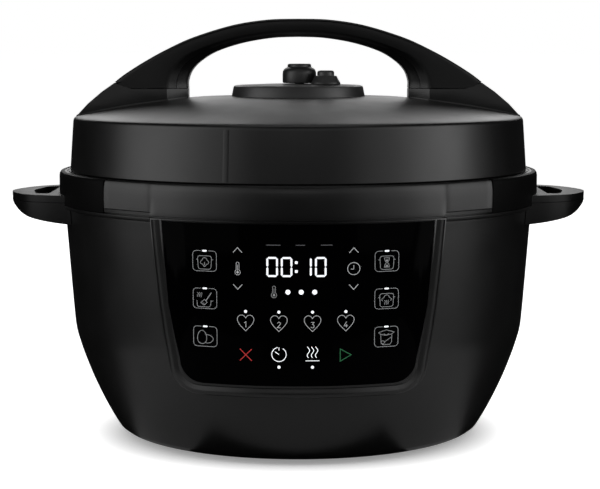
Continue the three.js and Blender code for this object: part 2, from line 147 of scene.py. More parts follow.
def _spread(tree: bpy.types.NodeTree, factor: Socket, low: float, high: float
            ) -> Socket:
    """Map a 0 to 1 factor onto a range.

    Args:
        tree: Node tree to add to.
        factor: Socket to map.
        low: Value at factor 0.3.
        high: Value at factor 0.7.

    Returns:
        The mapped socket.
    """
    spread = tree.nodes.new("ShaderNodeMapRange")
    spread.inputs["From Min"].default_value = 0.3
    spread.inputs["From Max"].default_value = 0.7
    spread.inputs["To Min"].default_value = low
    spread.inputs["To Max"].default_value = high
    tree.links.new(factor, spread.inputs["Value"])
    return spread.outputs["Result"]


def _tint(tree: bpy.types.NodeTree, factor: Socket, first: Point3, second: Point3
          ) -> Socket:
    """Blend two colours by a factor.

    Args:
        tree: Node tree to add to.
        factor: Socket that blends.
        first: Linear colour at 0.3.
        second: Linear colour at 0.7.

    Returns:
        The colour socket.
    """
    ramp = tree.nodes.new("ShaderNodeValToRGB")
    ramp.color_ramp.elements[0].position = 0.3
    ramp.color_ramp.elements[0].color = (*first, 1)
    ramp.color_ramp.elements[1].position = 0.7
    ramp.color_ramp.elements[1].color = (*second, 1)
    tree.links.new(factor, ramp.inputs["Fac"])
    return ramp.outputs["Color"]


def _relief(tree: bpy.types.NodeTree, shader: bpy.types.Node, height: Socket,
            strength: float, depth: float) -> None:
    """Feed a height into the shader's normal.

    Args:
        tree: Node tree to add to.
        shader: Principled shader.
        height: Height socket.
        strength: Bump strength.
        depth: Real depth in metres.
    """
    bump = tree.nodes.new("ShaderNodeBump")
    bump.inputs["Strength"].default_value = strength
    bump.inputs["Distance"].default_value = depth
    tree.links.new(height, bump.inputs["Height"])
    tree.links.new(bump.outputs["Normal"], shader.inputs["Normal"])


@dataclass(frozen=True)
class MouldedFinish:
    """Injection-moulded plastic: spark-eroded grain, slight sheen changes and soft mottling."""

    name: str
    tone: float
    roughness: float
    grain: float = 0.25
    grain_scale: float = 2600.0
    specular: float = 0.42

    def make(self) -> Material:
        """Build the material."""
        material, tree, shader = _nodes(self.name)
        dark = (self.tone * 0.9,) * 3
        light = (self.tone * 1.1, self.tone * 1.1, self.tone * 1.13)
        mottling = _noise(tree, 9.0, 3.0)
        tree.links.new(_tint(tree, mottling, dark, light), shader.inputs["Base Color"])
        sheen = _spread(tree, _noise(tree, 34.0, 4.0), self.roughness - 0.025,
                        self.roughness + 0.025)
        tree.links.new(sheen, shader.inputs["Roughness"])
        shader.inputs["Specular IOR Level"].default_value = self.specular
        _relief(tree, shader, _noise(tree, self.grain_scale, 2.0), self.grain, 0.00004)
        return material


@dataclass(frozen=True)
class PanelGlassFinish:
    """Back-printed black glass with a faint waviness."""

    name: str = "black_panel_glass"

    def make(self) -> Material:
        """Build the material."""
        material, tree, shader = _nodes(self.name)
        print_tone = _tint(tree, _noise(tree, 6.0, 2.0), (0.0005, 0.0005, 0.0006),
                           (0.0008, 0.0008, 0.0010))
        tree.links.new(print_tone, shader.inputs["Base Color"])
        smear = _spread(tree, _noise(tree, 14.0, 5.0), 0.07, 0.11)
        tree.links.new(smear, shader.inputs["Roughness"])
        shader.inputs["Specular IOR Level"].default_value = 0.008
        _relief(tree, shader, _noise(tree, 22.0, 1.0), 0.03, 0.0002)
        return material


@dataclass(frozen=True)
class MetalFinish:
    """Bare metal with a brushed, turned or cast surface."""

    name: str
    colour: Point3
    roughness: float
    stretch: Point3 = (1.0, 1.0, 1.0)
    scale: float = 400.0
    relief: float = 0.12

    def make(self) -> Material:
        """Build the material."""
        material, tree, shader = _nodes(self.name)
        worn = tuple(c * 0.86 for c in self.colour)
        lines = _noise(tree, self.scale, 4.0, self.stretch)
        tree.links.new(_tint(tree, lines, worn, self.colour), shader.inputs["Base Color"])
        brushed = _spread(tree, lines, self.roughness - 0.06, self.roughness + 0.08)
        tree.links.new(brushed, shader.inputs["Roughness"])
        shader.inputs["Metallic"].default_value = 1.0
        _relief(tree, shader, lines, self.relief, 0.00006)
        return material


@dataclass(frozen=True)
class SoftFinish:
    """Rubber or silicone with a dusty, slightly uneven skin."""

    name: str
    colour: Point3
    roughness: float
    depth: float = 0.0

    def make(self) -> Material:
        """Build the material."""
        material, tree, shader = _nodes(self.name)
        dusty = tuple(min(1.0, c * 1.15 + 0.004) for c in self.colour)
        tree.links.new(_tint(tree, _noise(tree, 60.0, 4.0), self.colour, dusty),
                       shader.inputs["Base Color"])
        skin = _spread(tree, _noise(tree, 180.0, 3.0), self.roughness - 0.05,
                       self.roughness + 0.05)
        tree.links.new(skin, shader.inputs["Roughness"])
        shader.inputs["Subsurface Weight"].default_value = self.depth
        shader.inputs["Subsurface Scale"].default_value = 0.002
        _relief(tree, shader, _noise(tree, 900.0, 2.0), 0.2, 0.00005)
        return material


@dataclass(frozen=True)
class LaminateFinish:
    """Circuit board with solder mask and faint copper tracks below it."""

    name: str = "circuit_laminate"

    def make(self) -> Material:
        """Build the material."""
        material, tree, shader = _nodes(self.name)
        place = tree.nodes.new("ShaderNodeTexCoord")
        bricks = tree.nodes.new("ShaderNodeTexBrick")
        bricks.inputs["Scale"].default_value = 90.0
        bricks.inputs["Mortar Size"].default_value = 0.03
        bricks.inputs["Color1"].default_value = (0.010, 0.090, 0.035, 1)
        bricks.inputs["Color2"].default_value = (0.013, 0.105, 0.040, 1)
        bricks.inputs["Mortar"].default_value = (0.030, 0.190, 0.080, 1)
        tree.links.new(place.outputs["Object"], bricks.inputs["Vector"])
        tree.links.new(bricks.outputs["Color"], shader.inputs["Base Color"])
        mask = _spread(tree, _noise(tree, 300.0, 3.0), 0.35, 0.5)
        tree.links.new(mask, shader.inputs["Roughness"])
        return material


@dataclass(frozen=True)
class LitFinish:
    """Panel marks lit from behind: a diffused colour with slight unevenness."""

    name: str
    colour: Point3
    glow: float

    def make(self) -> Material:
        """Build the material."""
        material, tree, shader = _nodes(self.name)
        shade = tuple(c * 0.93 for c in self.colour)
        tone = _tint(tree, _noise(tree, 140.0, 3.0), shade, self.colour)
        tree.links.new(tone, shader.inputs["Base Color"])
        tree.links.new(tone, shader.inputs["Emission Color"])
        shader.inputs["Emission Strength"].default_value = self.glow
        shader.inputs["Roughness"].default_value = 0.5
        return material


def ready(finish: MouldedFinish | PanelGlassFinish | MetalFinish | SoftFinish | LaminateFinish
          | LitFinish) -> Material:
    """Dataclass field that holds a finish's material."""
    return field(default_factory=finish.make)


@dataclass
class Finishes:
    """Every finish of the cooker, made once and shared."""

    body: Material = ready(MouldedFinish(
        "satin_black_moulding", 0.0024, 0.36))
    lid: Material = ready(MouldedFinish(
        "lid_black_moulding", 0.0026, 0.36))
    trim: Material = ready(MouldedFinish(
        "smooth_black_trim", 0.0022, 0.36, 0.12, 1800.0))
    frame: Material = ready(MouldedFinish(
        "panel_frame_black", 0.0024, 0.30, 0.08, 1800.0))
    # Near-black, barely glossy copy of the moulding: painted shade for the bracket covers on the
    # collar's sides.
    painted_shade: Material = ready(MouldedFinish(
        "painted_shade_black_trim", 0.0014, 0.50, 0.3, 2200.0, 0.07))
    # Darker, less glossy copy of the black moulding for the side handles: painted shade that keeps
    # the lamps' light off them.
    grip: Material = ready(MouldedFinish(
        "grip_painted_shade_moulding", 0.0014, 0.42, 0.25, 2400.0, 0.14))
    # Lighter grey copy of the black moulding for the valve plateau and valve caps: painted light
    # standing in for the brightness these black parts catch.
    valve: Material = ready(MouldedFinish(
        "valve_painted_light_moulding", 0.0170, 0.42, 0.2, 2200.0, 0.50))
    glass: Material = ready(PanelGlassFinish())
    steel: Material = ready(MetalFinish(
        "brushed_steel", (0.60, 0.61, 0.62), 0.30, (1.0, 1.0, 14.0)))
    spun: Material = ready(MetalFinish(
        "spun_steel", (0.63, 0.64, 0.65), 0.24, (1.0, 1.0, 22.0), 260.0, 0.08))
    wire: Material = ready(MetalFinish(
        "bright_wire", (0.66, 0.67, 0.68), 0.22, (1.0, 1.0, 1.0), 900.0, 0.05))
    alloy: Material = ready(MetalFinish(
        "cast_alloy", (0.50, 0.51, 0.52), 0.46, (1.0, 1.0, 1.0), 700.0, 0.35))
    brass: Material = ready(MetalFinish(
        "plated_brass", (0.62, 0.45, 0.18), 0.28, (1.0, 1.0, 1.0), 600.0, 0.06))
    rubber: Material = ready(SoftFinish(
        "foot_rubber", (0.012, 0.012, 0.012), 0.8))
    silicone: Material = ready(SoftFinish(
        "clear_silicone", (0.72, 0.72, 0.69), 0.45, 0.35))
    laminate: Material = ready(LaminateFinish())
    white_mark: Material = ready(LitFinish(
        "white_light", (0.92, 0.94, 0.97), 0.75))
    grey_mark: Material = ready(LitFinish(
        "grey_print", (0.42, 0.43, 0.44), 0.12))
    soft_mark: Material = ready(LitFinish(
        "soft_white_print", (0.62, 0.63, 0.64), 0.20))
    faint_mark: Material = ready(LitFinish(
        "faint_print", (0.14, 0.14, 0.15), 0.08))
    red_mark: Material = ready(LitFinish(
        "red_print", (0.52, 0.03, 0.03), 0.35))
    green_mark: Material = ready(LitFinish(
        "green_print", (0.02, 0.16, 0.06), 0.20))


# ------------------------------------------------------------------ mesh work
def arc(centre: Point2, radius: float, start: float, end: float, steps: int) -> list[Point2]:
    """Points along a circular arc.

    Args:
        centre: Centre of the arc.
        radius: Radius.
        start: First angle in degrees.
        end: Last angle in degrees.
        steps: Number of segments.

    Returns:
        The points, both ends included.
    """
    turns = (math.radians(start + (end - start) * i / steps) for i in range(steps + 1))
    return [(centre[0] + radius * math.cos(t), centre[1] + radius * math.sin(t)) for t in turns]


def spline(points: Sequence[Point2], steps: int) -> list[Point2]:
    """Catmull-Rom curve through the given points.

    Args:
        points: Points to pass through.
        steps: Segments between neighbouring points.

    Returns:
        The points of the curve.
    """
    ends = [points[0], *points, points[-1]]
    made: list[Point2] = []
    for a, b, c, d in zip(ends, ends[1:], ends[2:], ends[3:]):
        for i in range(steps):
            t = i / steps
            made.append(tuple(
                0.5 * (2 * b[k] + (c[k] - a[k]) * t
                       + (2 * a[k] - 5 * b[k] + 4 * c[k] - d[k]) * t * t
                       + (3 * b[k] - a[k] - 3 * c[k] + d[k]) * t ** 3) for k in range(2)))
    made.append(points[-1])
    return made


def rounded(points: Sequence[Point2], radii: Sequence[float], steps: int = 4) -> list[Point2]:
    """Round the corners of a closed outline.

    Args:
        points: Corners in order.
        radii: Rounding radius of each corner; 0 keeps it sharp.
        steps: Segments per rounded corner.

    Returns:
        The rounded outline.
    """
    made: list[Point2] = []
    count = len(points)
    for i, (corner, radius) in enumerate(zip(points, radii)):
        here = Vector(corner)
        back = Vector(points[i - 1]) - here
        on = Vector(points[(i + 1) % count]) - here
        if radius <= 0 or back.length < 1e-6 or on.length < 1e-6:
            made.append((here.x, here.y))
            continue
        angle = back.angle(on)
        reach = min(radius / math.tan(angle / 2), back.length * 0.48, on.length * 0.48)
        first = here + back.normalized() * reach
        last = here + on.normalized() * reach
        for s in range(steps + 1):
            t = s / steps
            point = first * (1 - t) ** 2 + here * 2 * t * (1 - t) + last * t * t
            made.append((point.x, point.y))
    return made


def outset(points: Sequence[Point2], distance: float) -> list[Point2]:
    """Move an open line sideways, to the right of its direction.

    Args:
        points: The line.
        distance: How far to move it.

    Returns:
        The moved line.
    """
    made = []
    for i, (x, y) in enumerate(points):
        before, after = points[max(i - 1, 0)], points[min(i + 1, len(points) - 1)]
        along = Vector((after[0] - before[0], after[1] - before[1])).normalized()
        made.append((x + along.y * distance, y - along.x * distance))
    return made


class Shape:
    """A mesh under construction, in millimetres."""

    def __init__(self) -> None:
        """Start empty."""
        self.mesh = bmesh.new()

    def revolve(self, profile: Sequence[Point2], segments: int = 160,
                centre: Point2 = (0.0, 0.0),
                swell: Callable[[float, float], float] | None = None) -> "Shape":
        """Turn a closed profile of radius and height round Z.

        Args:
            profile: Points of radius and height; points on the axis become one vertex.
            segments: Segments round the axis.
            centre: Where the axis stands.
            swell: Optional radius change by angle in degrees from the front and height.

        Returns:
            This shape.
        """
        closed = not (profile[0][0] == 0 and profile[-1][0] == 0)
        rings = []
        for radius, height in profile:
            if radius == 0:
                rings.append([self.mesh.verts.new((*centre, height))] * segments)
                continue
            ring = []
            for i in range(segments):
                turn = 360.0 * i / segments
                r = radius + (swell(turn, height) if swell else 0.0)
                angle = math.radians(turn)
                ring.append(self.mesh.verts.new((centre[0] + r * math.sin(angle),
                                                 centre[1] - r * math.cos(angle), height)))
            rings.append(ring)
        pairs = list(zip(rings, rings[1:])) + ([(rings[-1], rings[0])] if closed else [])
        for low, high in pairs:
            for i in range(segments):
                j = (i + 1) % segments
                corners = list(dict.fromkeys((low[i], low[j], high[j], high[i])))
                if len(corners) > 2:
                    self.mesh.faces.new(corners)
        return self

    def prism(self, outline: Sequence[Point2], start: float, end: float,
              place: Callable[[float, float, float], Point3]) -> "Shape":
        """Extrude an outline.

        Args:
            outline: Closed outline of u and v.
            start: First level along w.
            end: Last level along w.
            place: Turns u, v and w into a point.

        Returns:
            This shape.
        """
        low = [self.mesh.verts.new(place(u, v, start)) for u, v in outline]
        high = [self.mesh.verts.new(place(u, v, end)) for u, v in outline]
        for i in range(len(outline)):
            j = (i + 1) % len(outline)
            self.mesh.faces.new((low[i], low[j], high[j], high[i]))
        self.mesh.faces.new(low[::-1])
        self.mesh.faces.new(high)
        return self

    def loft(self, rings: Sequence[Sequence[Point3]]) -> "Shape":
        """Skin a row of rings of equal length and close both ends.

        Args:
            rings: Rings of points.

        Returns:
            This shape.
        """
        made = [[self.mesh.verts.new(p) for p in ring] for ring in rings]
        for first, second in zip(made, made[1:]):
            for i in range(len(first)):
                j = (i + 1) % len(first)
                self.mesh.faces.new((first[i], first[j], second[j], second[i]))
        self.mesh.faces.new(made[0][::-1])
        self.mesh.faces.new(made[-1])
        return self

    def combined(self, operation: str, other: "Shape") -> "Shape":
        """Boolean of this shape with another; both are used up.

        Args:
            operation: Kind of boolean.
            other: The other shape.

        Returns:
            The result as a shape in millimetres.
        """
        piece = self._object("blank")
        self._combine(piece, operation, [other])
        made = Shape()
        made.mesh.from_mesh(piece.data)
        bmesh.ops.scale(made.mesh, vec=(1 / MM,) * 3, verts=made.mesh.verts)
        bpy.data.objects.remove(piece)
        return made

    def finish(self, name: str, body: Body, slot: Slot, material: Material,
               replaces: Iterable[str] = (), bevel: float = 0.0, smooth_angle: float = 40.0,
               bevel_segments: int = 3, cuts: Iterable["Shape"] = (),
               joins: Iterable["Shape"] = (), trims: Iterable["Shape"] = ()
               ) -> Piece:
        """Turn the shape into a finished piece of the cooker.

        Args:
            name: Name of the piece.
            body: Body it rides on.
            slot: Material slot of the record; not used.
            material: Finish.
            replaces: Nodes it stands for.
            bevel: Edge rounding in millimetres.
            smooth_angle: Angle in degrees above which an edge stays crisp.
            bevel_segments: Segments of each rounded edge.
            cuts: Shapes taken away before the edges are rounded.
            joins: Shapes added before the edges are rounded.
            trims: Shapes taken away after the edges are rounded.

        Returns:
            The object.
        """
        piece = self._object(name)
        self._combine(piece, "UNION", joins)
        self._combine(piece, "DIFFERENCE", cuts)
        if bevel > 0:
            edges = piece.modifiers.new("edges", "BEVEL")
            edges.width = bevel * MM
            edges.segments = bevel_segments
            edges.limit_method = "ANGLE"
            edges.angle_limit = math.radians(smooth_angle)
            edges.use_clamp_overlap = True
            edges.harden_normals = False
            self._apply(piece)
        self._combine(piece, "DIFFERENCE", trims)
        piece.data.materials.clear()
        piece.data.materials.append(material)
        soften(piece, smooth_angle)
        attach(piece, body.value)
        nodes = tuple(replaces)
        if nodes:
            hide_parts(*nodes)
        LOG.info("%s: %d faces on %s", name, len(piece.data.polygons), body.value)
        return piece

    def _combine(self, piece: Piece, operation: str, others: Iterable["Shape"]
                 ) -> None:
        """Join or cut a piece with other shapes.

        Args:
            piece: Piece to change.
            operation: Kind of boolean.
            others: Shapes to use, consumed by this.
        """
        for other in others:
            tool = other._object(piece.name + "_tool")
            change = piece.modifiers.new(operation, "BOOLEAN")
            change.operation = operation
            change.solver = "EXACT"
            change.object = tool
            self._apply(piece)
            bpy.data.objects.remove(tool)

    def _object(self, name: str) -> Piece:
        """Hand the mesh to a new object, in metres, faces outwards.

        Args:
            name: Name of the object.

        Returns:
            The object.
        """
        bmesh.ops.remove_doubles(self.mesh, verts=self.mesh.verts, dist=0.0005)
        bmesh.ops.recalc_face_normals(self.mesh, faces=self.mesh.faces)
        bmesh.ops.scale(self.mesh, vec=(MM,) * 3, verts=self.mesh.verts)
        data = bpy.data.meshes.new(name)
        self.mesh.to_mesh(data)
        self.mesh.free()
        made = bpy.data.objects.new(name, data)
        bpy.context.scene.collection.objects.link(made)
        return made

    @staticmethod
    def _apply(piece: Piece) -> None:
        """Apply every modifier of a piece to its mesh.

        Args:
            piece: Piece to change.
        """
        graph = bpy.context.evaluated_depsgraph_get()
        data = bpy.data.meshes.new_from_object(piece.evaluated_get(graph))
        piece.modifiers.clear()
        old = piece.data
        piece.data = data
        bpy.data.meshes.remove(old)
        data.name = piece.name


def soften(piece: Piece, angle: float) -> None:
    """Shade smooth, keeping edges sharper than an angle crisp.

    Args:
        piece: Mesh object.
        angle: Angle in degrees.
    """
    data = piece.data
    data.polygons.foreach_set("use_smooth", [True] * len(data.polygons))
    data.set_sharp_from_angle(angle=math.radians(angle))


def upright(u: float, v: float, w: float) -> Point3:
    """Outline in plan, extruded upwards."""
    return (u, v, w)


def frontal(u: float, v: float, w: float) -> Point3:
    """Outline seen from the front, extruded backwards."""
    return (u, w, v)


def rectangle(x0: float, x1: float, y0: float, y1: float, corner: float = 0.0, steps: int = 5
              ) -> list[Point2]:
    """Rectangle with rounded corners.

    Args:
        x0: Left edge.
        x1: Right edge.
        y0: Lower edge.
        y1: Upper edge.
        corner: Corner radius.
        steps: Segments per corner.

    Returns:
        The outline, counter-clockwise.
    """
    if corner <= 0:
        return [(x0, y0), (x1, y0), (x1, y1), (x0, y1)]
    made = arc((x1 - corner, y0 + corner), corner, -90, 0, steps)
    made += arc((x1 - corner, y1 - corner), corner, 0, 90, steps)
    made += arc((x0 + corner, y1 - corner), corner, 90, 180, steps)
    made += arc((x0 + corner, y0 + corner), corner, 180, 270, steps)
    return made


# ----------------------------------------------------------------- the base
def bowl_radius(height: float) -> float:
    """Outer radius of the housing bowl.

    Args:
        height: Height in millimetres.

    Returns:
        The radius there.
    """
    rows = BaseShell.BOWL
    for (r0, z0), (r1, z1) in zip(rows, rows[1:]):
        if z0 <= height <= z1:
            return r0 + (r1 - r0) * (height - z0) / (z1 - z0)
    return rows[-1][0]


@dataclass
class BaseShell:
    """Housing bowl, collar, underside and feet."""

    finishes: Finishes
    housing_top: float = 185.0
    collar_radius: float = 169.6
    recess_depth: float = 0.4
    recess: Point2 = (33.5, 48.5)
    lip_step: float = 4.0
    lip_end: float = 33.9
    inlet_face: float = 146.0
    inlet_half: Point2 = (14.5, 13.5)
    inlet_height: float = 28.0
    foot_radius: float = 11.0
    foot_at: float = 70.0
    screw_circle: float = 111.5
    BOWL = ((118.0, 3.1), (122.5, 3.4), (125.0, 4.1), (127.0, 5.3), (128.6, 6.6), (130.0, 8.0),
            (135.2, 16.6), (139.9, 25.5), (144.2, 34.4), (148.1, 43.2), (151.6, 52.1),
            (154.8, 60.9), (156.9, 67.5), (158.5, 73.0), (159.5, 78.0), (160.2, 84.0),
            (161.9, 104.8), (164.5, 139.7), (166.0, 160.0))

    def build(self) -> None:
        """Build every piece."""
        self.housing()
        self.collar()
        self.lip()
        self.brackets()
        self.underside()
        self.feet()

    def housing(self) -> None:
        """Bowl, cut away for the rear inlet."""
        outer = spline(self.BOWL, 3) + [(166.4, 164.0), (166.4, self.housing_top)]
        inner = [(163.4, self.housing_top), (162.0, 139.7), (159.5, 104.8), (156.4, 74.1),
                 (152.6, 60.9), (146.5, 43.2), (138.1, 25.5), (131.0, 12.0), (127.5, 8.6),
                 (107.5, 8.6), (107.5, 6.3), (116.0, 6.3), (116.0, 3.1)]
        x, z = self.inlet_half
        low, high = self.inlet_height - z, self.inlet_height + z
        recess = Shape().prism(rectangle(-18.3, 18.3, 11.2, 44.8, 4.2), self.inlet_face, 165.0,
                               frontal)
        socket = Shape().prism(rectangle(-x, x, low, high, 1.5), 100.0, 170.0, frontal)
        Shape().revolve(outer + inner, 240).finish(
            "housing_bowl", Body.BASE, Slot.BODY, self.finishes.body, ["outer_housing"],
            smooth_angle=32.0, cuts=[recess, socket])

    def step(self, turn: float, height: float) -> float:
        """Radius lost to the stepped-back segments of the collar.

        Args:
            turn: Angle in degrees from the front.
            height: Height of the point.

        Returns:
            Radius change in millimetres.
        """
        side = turn % 180.0
        side = min(side, 180.0 - side)
        start, end = self.recess
        if not start <= side <= end or height < 169.2:
            return 0.0
        middle = math.radians(side - (start + end) / 2)
        reach = math.cos(math.radians((end - start) / 2)) / math.cos(middle)
        return self.collar_radius * (reach - 1.0) - self.recess_depth * min(
            (side - start) / 1.9, 1.0)

    def crisp(self, turn: float) -> float:
        """Angle moved next to the rear end of a stepped-back segment, to keep that end sharp.

        Args:
            turn: Angle in degrees from the front.

        Returns:
            The angle to use.
        """
        for end in (self.recess[1], 180 + self.recess[1]):
            if end < turn < end + 0.8:
                return end + 0.12
        for end in (180 - self.recess[1], 360 - self.recess[1]):
            if end - 0.8 < turn < end:
                return end - 0.12
        return turn

    def collar(self) -> None:
        """Band, top flange and condensate trough in one moulding."""
        skirt = [(166.9, 166.6), (169.1, 166.6), (169.4, 166.9), (169.5, 168.9), (169.5, 169.4),
                 (self.collar_radius, 178.7), (169.4, 183.0), (169.0, 186.2), (168.4, 187.3),
                 (167.4, 187.9), (164.6, 187.9), (164.0, 187.4)]
        trough = [(163.4, 187.4), (163.0, 187.9), (151.2, 187.9), (150.4, 187.5), (150.2, 186.8),
                  (150.2, 171.4), (149.3, 170.5), (140.6, 170.5), (139.9, 170.0), (139.9, 168.0),
                  (152.7, 168.0), (152.7, 185.4), (166.9, 185.4)]
        shape = Shape().revolve(skirt + trough, 480)
        for vert in shape.mesh.verts:
            radius = math.hypot(vert.co.x, vert.co.y)
            if radius < self.collar_radius - 2.6:
                continue
            turn = math.degrees(math.atan2(vert.co.x, -vert.co.y)) % 360.0
            radius += self.step(turn, vert.co.z)
            turn = math.radians(self.crisp(turn))
            vert.co.x, vert.co.y = radius * math.sin(turn), -radius * math.cos(turn)
        shape.finish("upper_collar_band", Body.BASE, Slot.BODY, self.finishes.body,
                     ["upper_collar"], smooth_angle=28.0)

    def lip(self) -> None:
        """Raised lip of the bowl under the collar, set back behind the panel frame."""
        def set_back(turn: float, height: float) -> float:
            """Radius change behind the panel frame."""
            return -self.lip_step if min(turn, 360.0 - turn) < self.lip_end else 0.0

        profile = [(164.0, 162.8), (167.6, 162.8), (168.7, 163.2), (169.0, 164.0),
                   (169.0, 165.6), (164.0, 165.6)]
        Shape().revolve(profile, 480, swell=set_back).finish(
            "housing_lip", Body.BASE, Slot.BODY, self.finishes.body, smooth_angle=28.0)

    def brackets(self) -> None:
        """Curved cover over each side handle's bracket, in a near-black, barely glossy finish that
        paints the shade on the collar's sides.
        """
        start = self.recess[1] + 0.5
        for name, side in (("right", 1), ("left", -1)):
            rings = []
            for i in range(61):
                turn = math.radians(start + (180.0 - 2 * start) * i / 60)
                rings.append([(side * r * math.sin(turn), -r * math.cos(turn), z) for r, z in (
                    (168.6, 166.2), (169.9, 166.2), (170.0, 166.6), (170.0, 184.8),
                    (169.7, 186.6), (168.9, 187.8), (167.6, 188.25), (166.4, 188.3),
                    (166.0, 187.4))])
            Shape().loft(rings).finish(name + "_bracket_cover", Body.BASE, Slot.TRIM,
                                       self.finishes.painted_shade, smooth_angle=28.0)

    def underside(self) -> None:
        """Base plate with a rim, rows of vents and screw holes."""
        plate = [(0.0, 3.6), (112.0, 3.6), (113.4, 3.4), (115.2, 3.4), (115.6, 3.8), (115.6, 6.0),
                 (0.0, 6.0)]
        vents = []
        for row in range(-3, 4):
            for side in (-1, 1):
                x = side * 34.0
                y = row * 9.0
                vents.append(Shape().prism(rectangle(x - 16.0, x + 16.0, y - 1.6, y + 1.6, 1.5),
                                           2.0, 7.0, upright))
        holes = [Shape().revolve([(0, 2), (4.4, 2), (4.4, 7), (0, 7)], 32, at)
                 for at in self.screw_spots()]
        Shape().revolve(plate, 160).finish(
            "underside_plate", Body.BASE, Slot.BODY, self.finishes.body, ["base_plate"],
            smooth_angle=30.0, cuts=vents + holes)

    def screw_spots(self) -> list[Point2]:
        """Centres of the base screws."""
        turns = (math.radians(a) for a in (67, 157, 247, 337))
        return [(self.screw_circle * math.cos(t), self.screw_circle * math.sin(t)) for t in turns]

    def feet(self) -> None:
        """Rubber feet with a chamfered tread and a shallow ring groove."""
        r = self.foot_radius
        profile = [(0.0, 0.0), (r - 4.6, 0.0), (r - 4.2, 0.5), (r - 3.4, 0.5), (r - 3.0, 0.0),
                   (r - 1.2, 0.0), (r - 0.4, 0.3), (r, 1.0), (r, 3.2), (0.0, 3.2)]
        corners = ((-1, -1), (1, -1), (1, 1), (-1, 1))
        for number, (sx, sy) in enumerate(corners, start=1):
            Shape().revolve(profile, 48, (sx * self.foot_at, sy * self.foot_at)).finish(
                f"rubber_foot_{number}", Body.BASE, Slot.FOOT, self.finishes.rubber,
                [f"foot_{number}"])
        for number, at in enumerate(self.screw_spots(), start=1):
            pan_screw(at, 3.1, 3.8, 1.8, 6.0).finish(
                f"base_screw_head_{number}", Body.BASE, Slot.STEEL, self.finishes.wire,
                [f"base_screw_{number}"], cuts=[cross_recess(at, 1.5, 2.3)])


def pan_screw(at: Point2, seat: float, head: float, shank: float, length: float) -> Shape:
    """Pan-head screw driven upwards.

    Args:
        at: Centre in plan.
        seat: Height of the seat under the head.
        head: Head radius.
        shank: Shank radius.
        length: Shank length.

    Returns:
        The screw's shape.
    """
    return Shape().revolve([
        (0.0, seat - 1.6), (head * 0.6, seat - 1.5), (head * 0.9, seat - 1.1), (head, seat - 0.5),
        (head, seat), (shank, seat), (shank, seat + length - 1.0), (shank * 0.5, seat + length),
        (0.0, seat + length)], 32, at)


def cross_recess(at: Point2, bottom: float, reach: float) -> Shape:
    """Cross-shaped driver recess.

    Args:
        at: Centre in plan.
        bottom: Height of the head's lowest point.
        reach: Half length of each arm.

    Returns:
        The recess as a cutting shape.
    """
    x, y = at
    arm = 0.45
    plus = [(arm, arm), (arm, reach), (-arm, reach), (-arm, arm), (-reach, arm), (-reach, -arm),
            (-arm, -arm), (-arm, -reach), (arm, -reach), (arm, -arm), (reach, -arm), (reach, arm)]
    return Shape().prism([(x + u, y + v) for u, v in plus], bottom - 1.0, bottom + 0.9, upright)


@dataclass
class SideHandles:
    """Pair of side handles, each an upper cover on a lower grip."""

    finishes: Finishes
    parting: float = 167.7
    seam: float = 0.3
    edge: float = 2.2
    slot: Point2 = (174.5, 189.2)
    slot_half: float = 34.5

    def build(self) -> None:
        """Build both sides."""
        # Both halves take the darker grip finish, whose darkness is painted shade.
        for name, side in (("right", 1), ("left", -1)):
            self.piece(side, name + "_handle_top", self.parting + self.seam / 2, 182.0,
                       name + "_handle_cover", Slot.BODY, self.finishes.grip)
            self.piece(side, name + "_handle_lower", 148.0, self.parting - self.seam / 2,
                       name + "_handle_grip", Slot.TRIM, self.finishes.grip)

    def plan(self, side: int) -> list[Point2]:
        """Outline of the handle from above.

        Args:
            side: 1 for the right-hand side, -1 for the left.

        Returns:
            The outline.
        """
        half = [(140, 60), (164, 53.5), (178, 48), (189, 40), (197, 28), (202.6, 14), (204.8, 0)]
        edge = spline([(x, -y) for x, y in half] + half[-2::-1], 6)
        return [(side * x, y) for x, y in edge]

    def section(self, side: int) -> list[Point2]:
        """Outline of the handle seen from the front.

        Args:
            side: 1 for the right-hand side, -1 for the left.

        Returns:
            The outline.
        """
        low = spline([(140, 151.5), (167, 153.6), (185, 156.3), (194, 159.4), (199.5, 163),
                      (203, 165.6), (205.4, 168.2)], 4)
        return [(side * x, z) for x, z in low + [(205.4, 172.5), (140, 173.0)]]

    def finger_slot(self, side: int) -> list[Point2]:
        """Outline of the finger slot from above.

        Args:
            side: 1 for the right-hand side, -1 for the left.

        Returns:
            The outline.
        """
        x0, x1 = self.slot
        y = self.slot_half
        made = rounded([(x0, -y), (x1 - 5.5, -y + 2), (x1 + 1.2, 0), (x1 - 5.5, y - 2), (x0, y)],
                       [5, 7, 60, 7, 5], 8)
        return [(side * u, v) for u, v in made]

    def piece(self, side: int, name: str, low: float, high: float, node: str, slot: Slot,
              finish: Material) -> Piece:
        """One half of a handle.

        Args:
            side: 1 for the right-hand side, -1 for the left.
            name: Name of the piece.
            low: Lowest height it may reach.
            high: Highest height it may reach.
            node: Node it stands for.
            slot: Material slot.
            finish: Finish.

        Returns:
            The piece.
        """
        shape = Shape().prism(self.section(side), -90, 90, frontal)
        outside = Shape().prism([(-400, -400), (400, -400), (400, 400), (-400, 400)], 100, 240,
                                upright)
        waste = outside.combined("DIFFERENCE",
                                 Shape().prism(self.plan(side), 90, 250, upright))
        body = Shape().revolve([(0, 130), (bowl_radius(130) + 0.4, 130), (166.9, 165.6),
                                (170.0, 165.7), (170.0, 192), (0, 192)], 240)
        above = Shape().prism(rectangle(-400, 400, -400, 400), high, 300, upright)
        below = Shape().prism(rectangle(-400, 400, -400, 400), 50, low, upright)
        slot_cut = Shape().prism(self.finger_slot(side), 100, 220, upright)
        return shape.finish(name, Body.BASE, slot, finish, [node], bevel=self.edge,
                            smooth_angle=28.0, bevel_segments=5, cuts=[waste, slot_cut],
                            trims=[body, above, below])


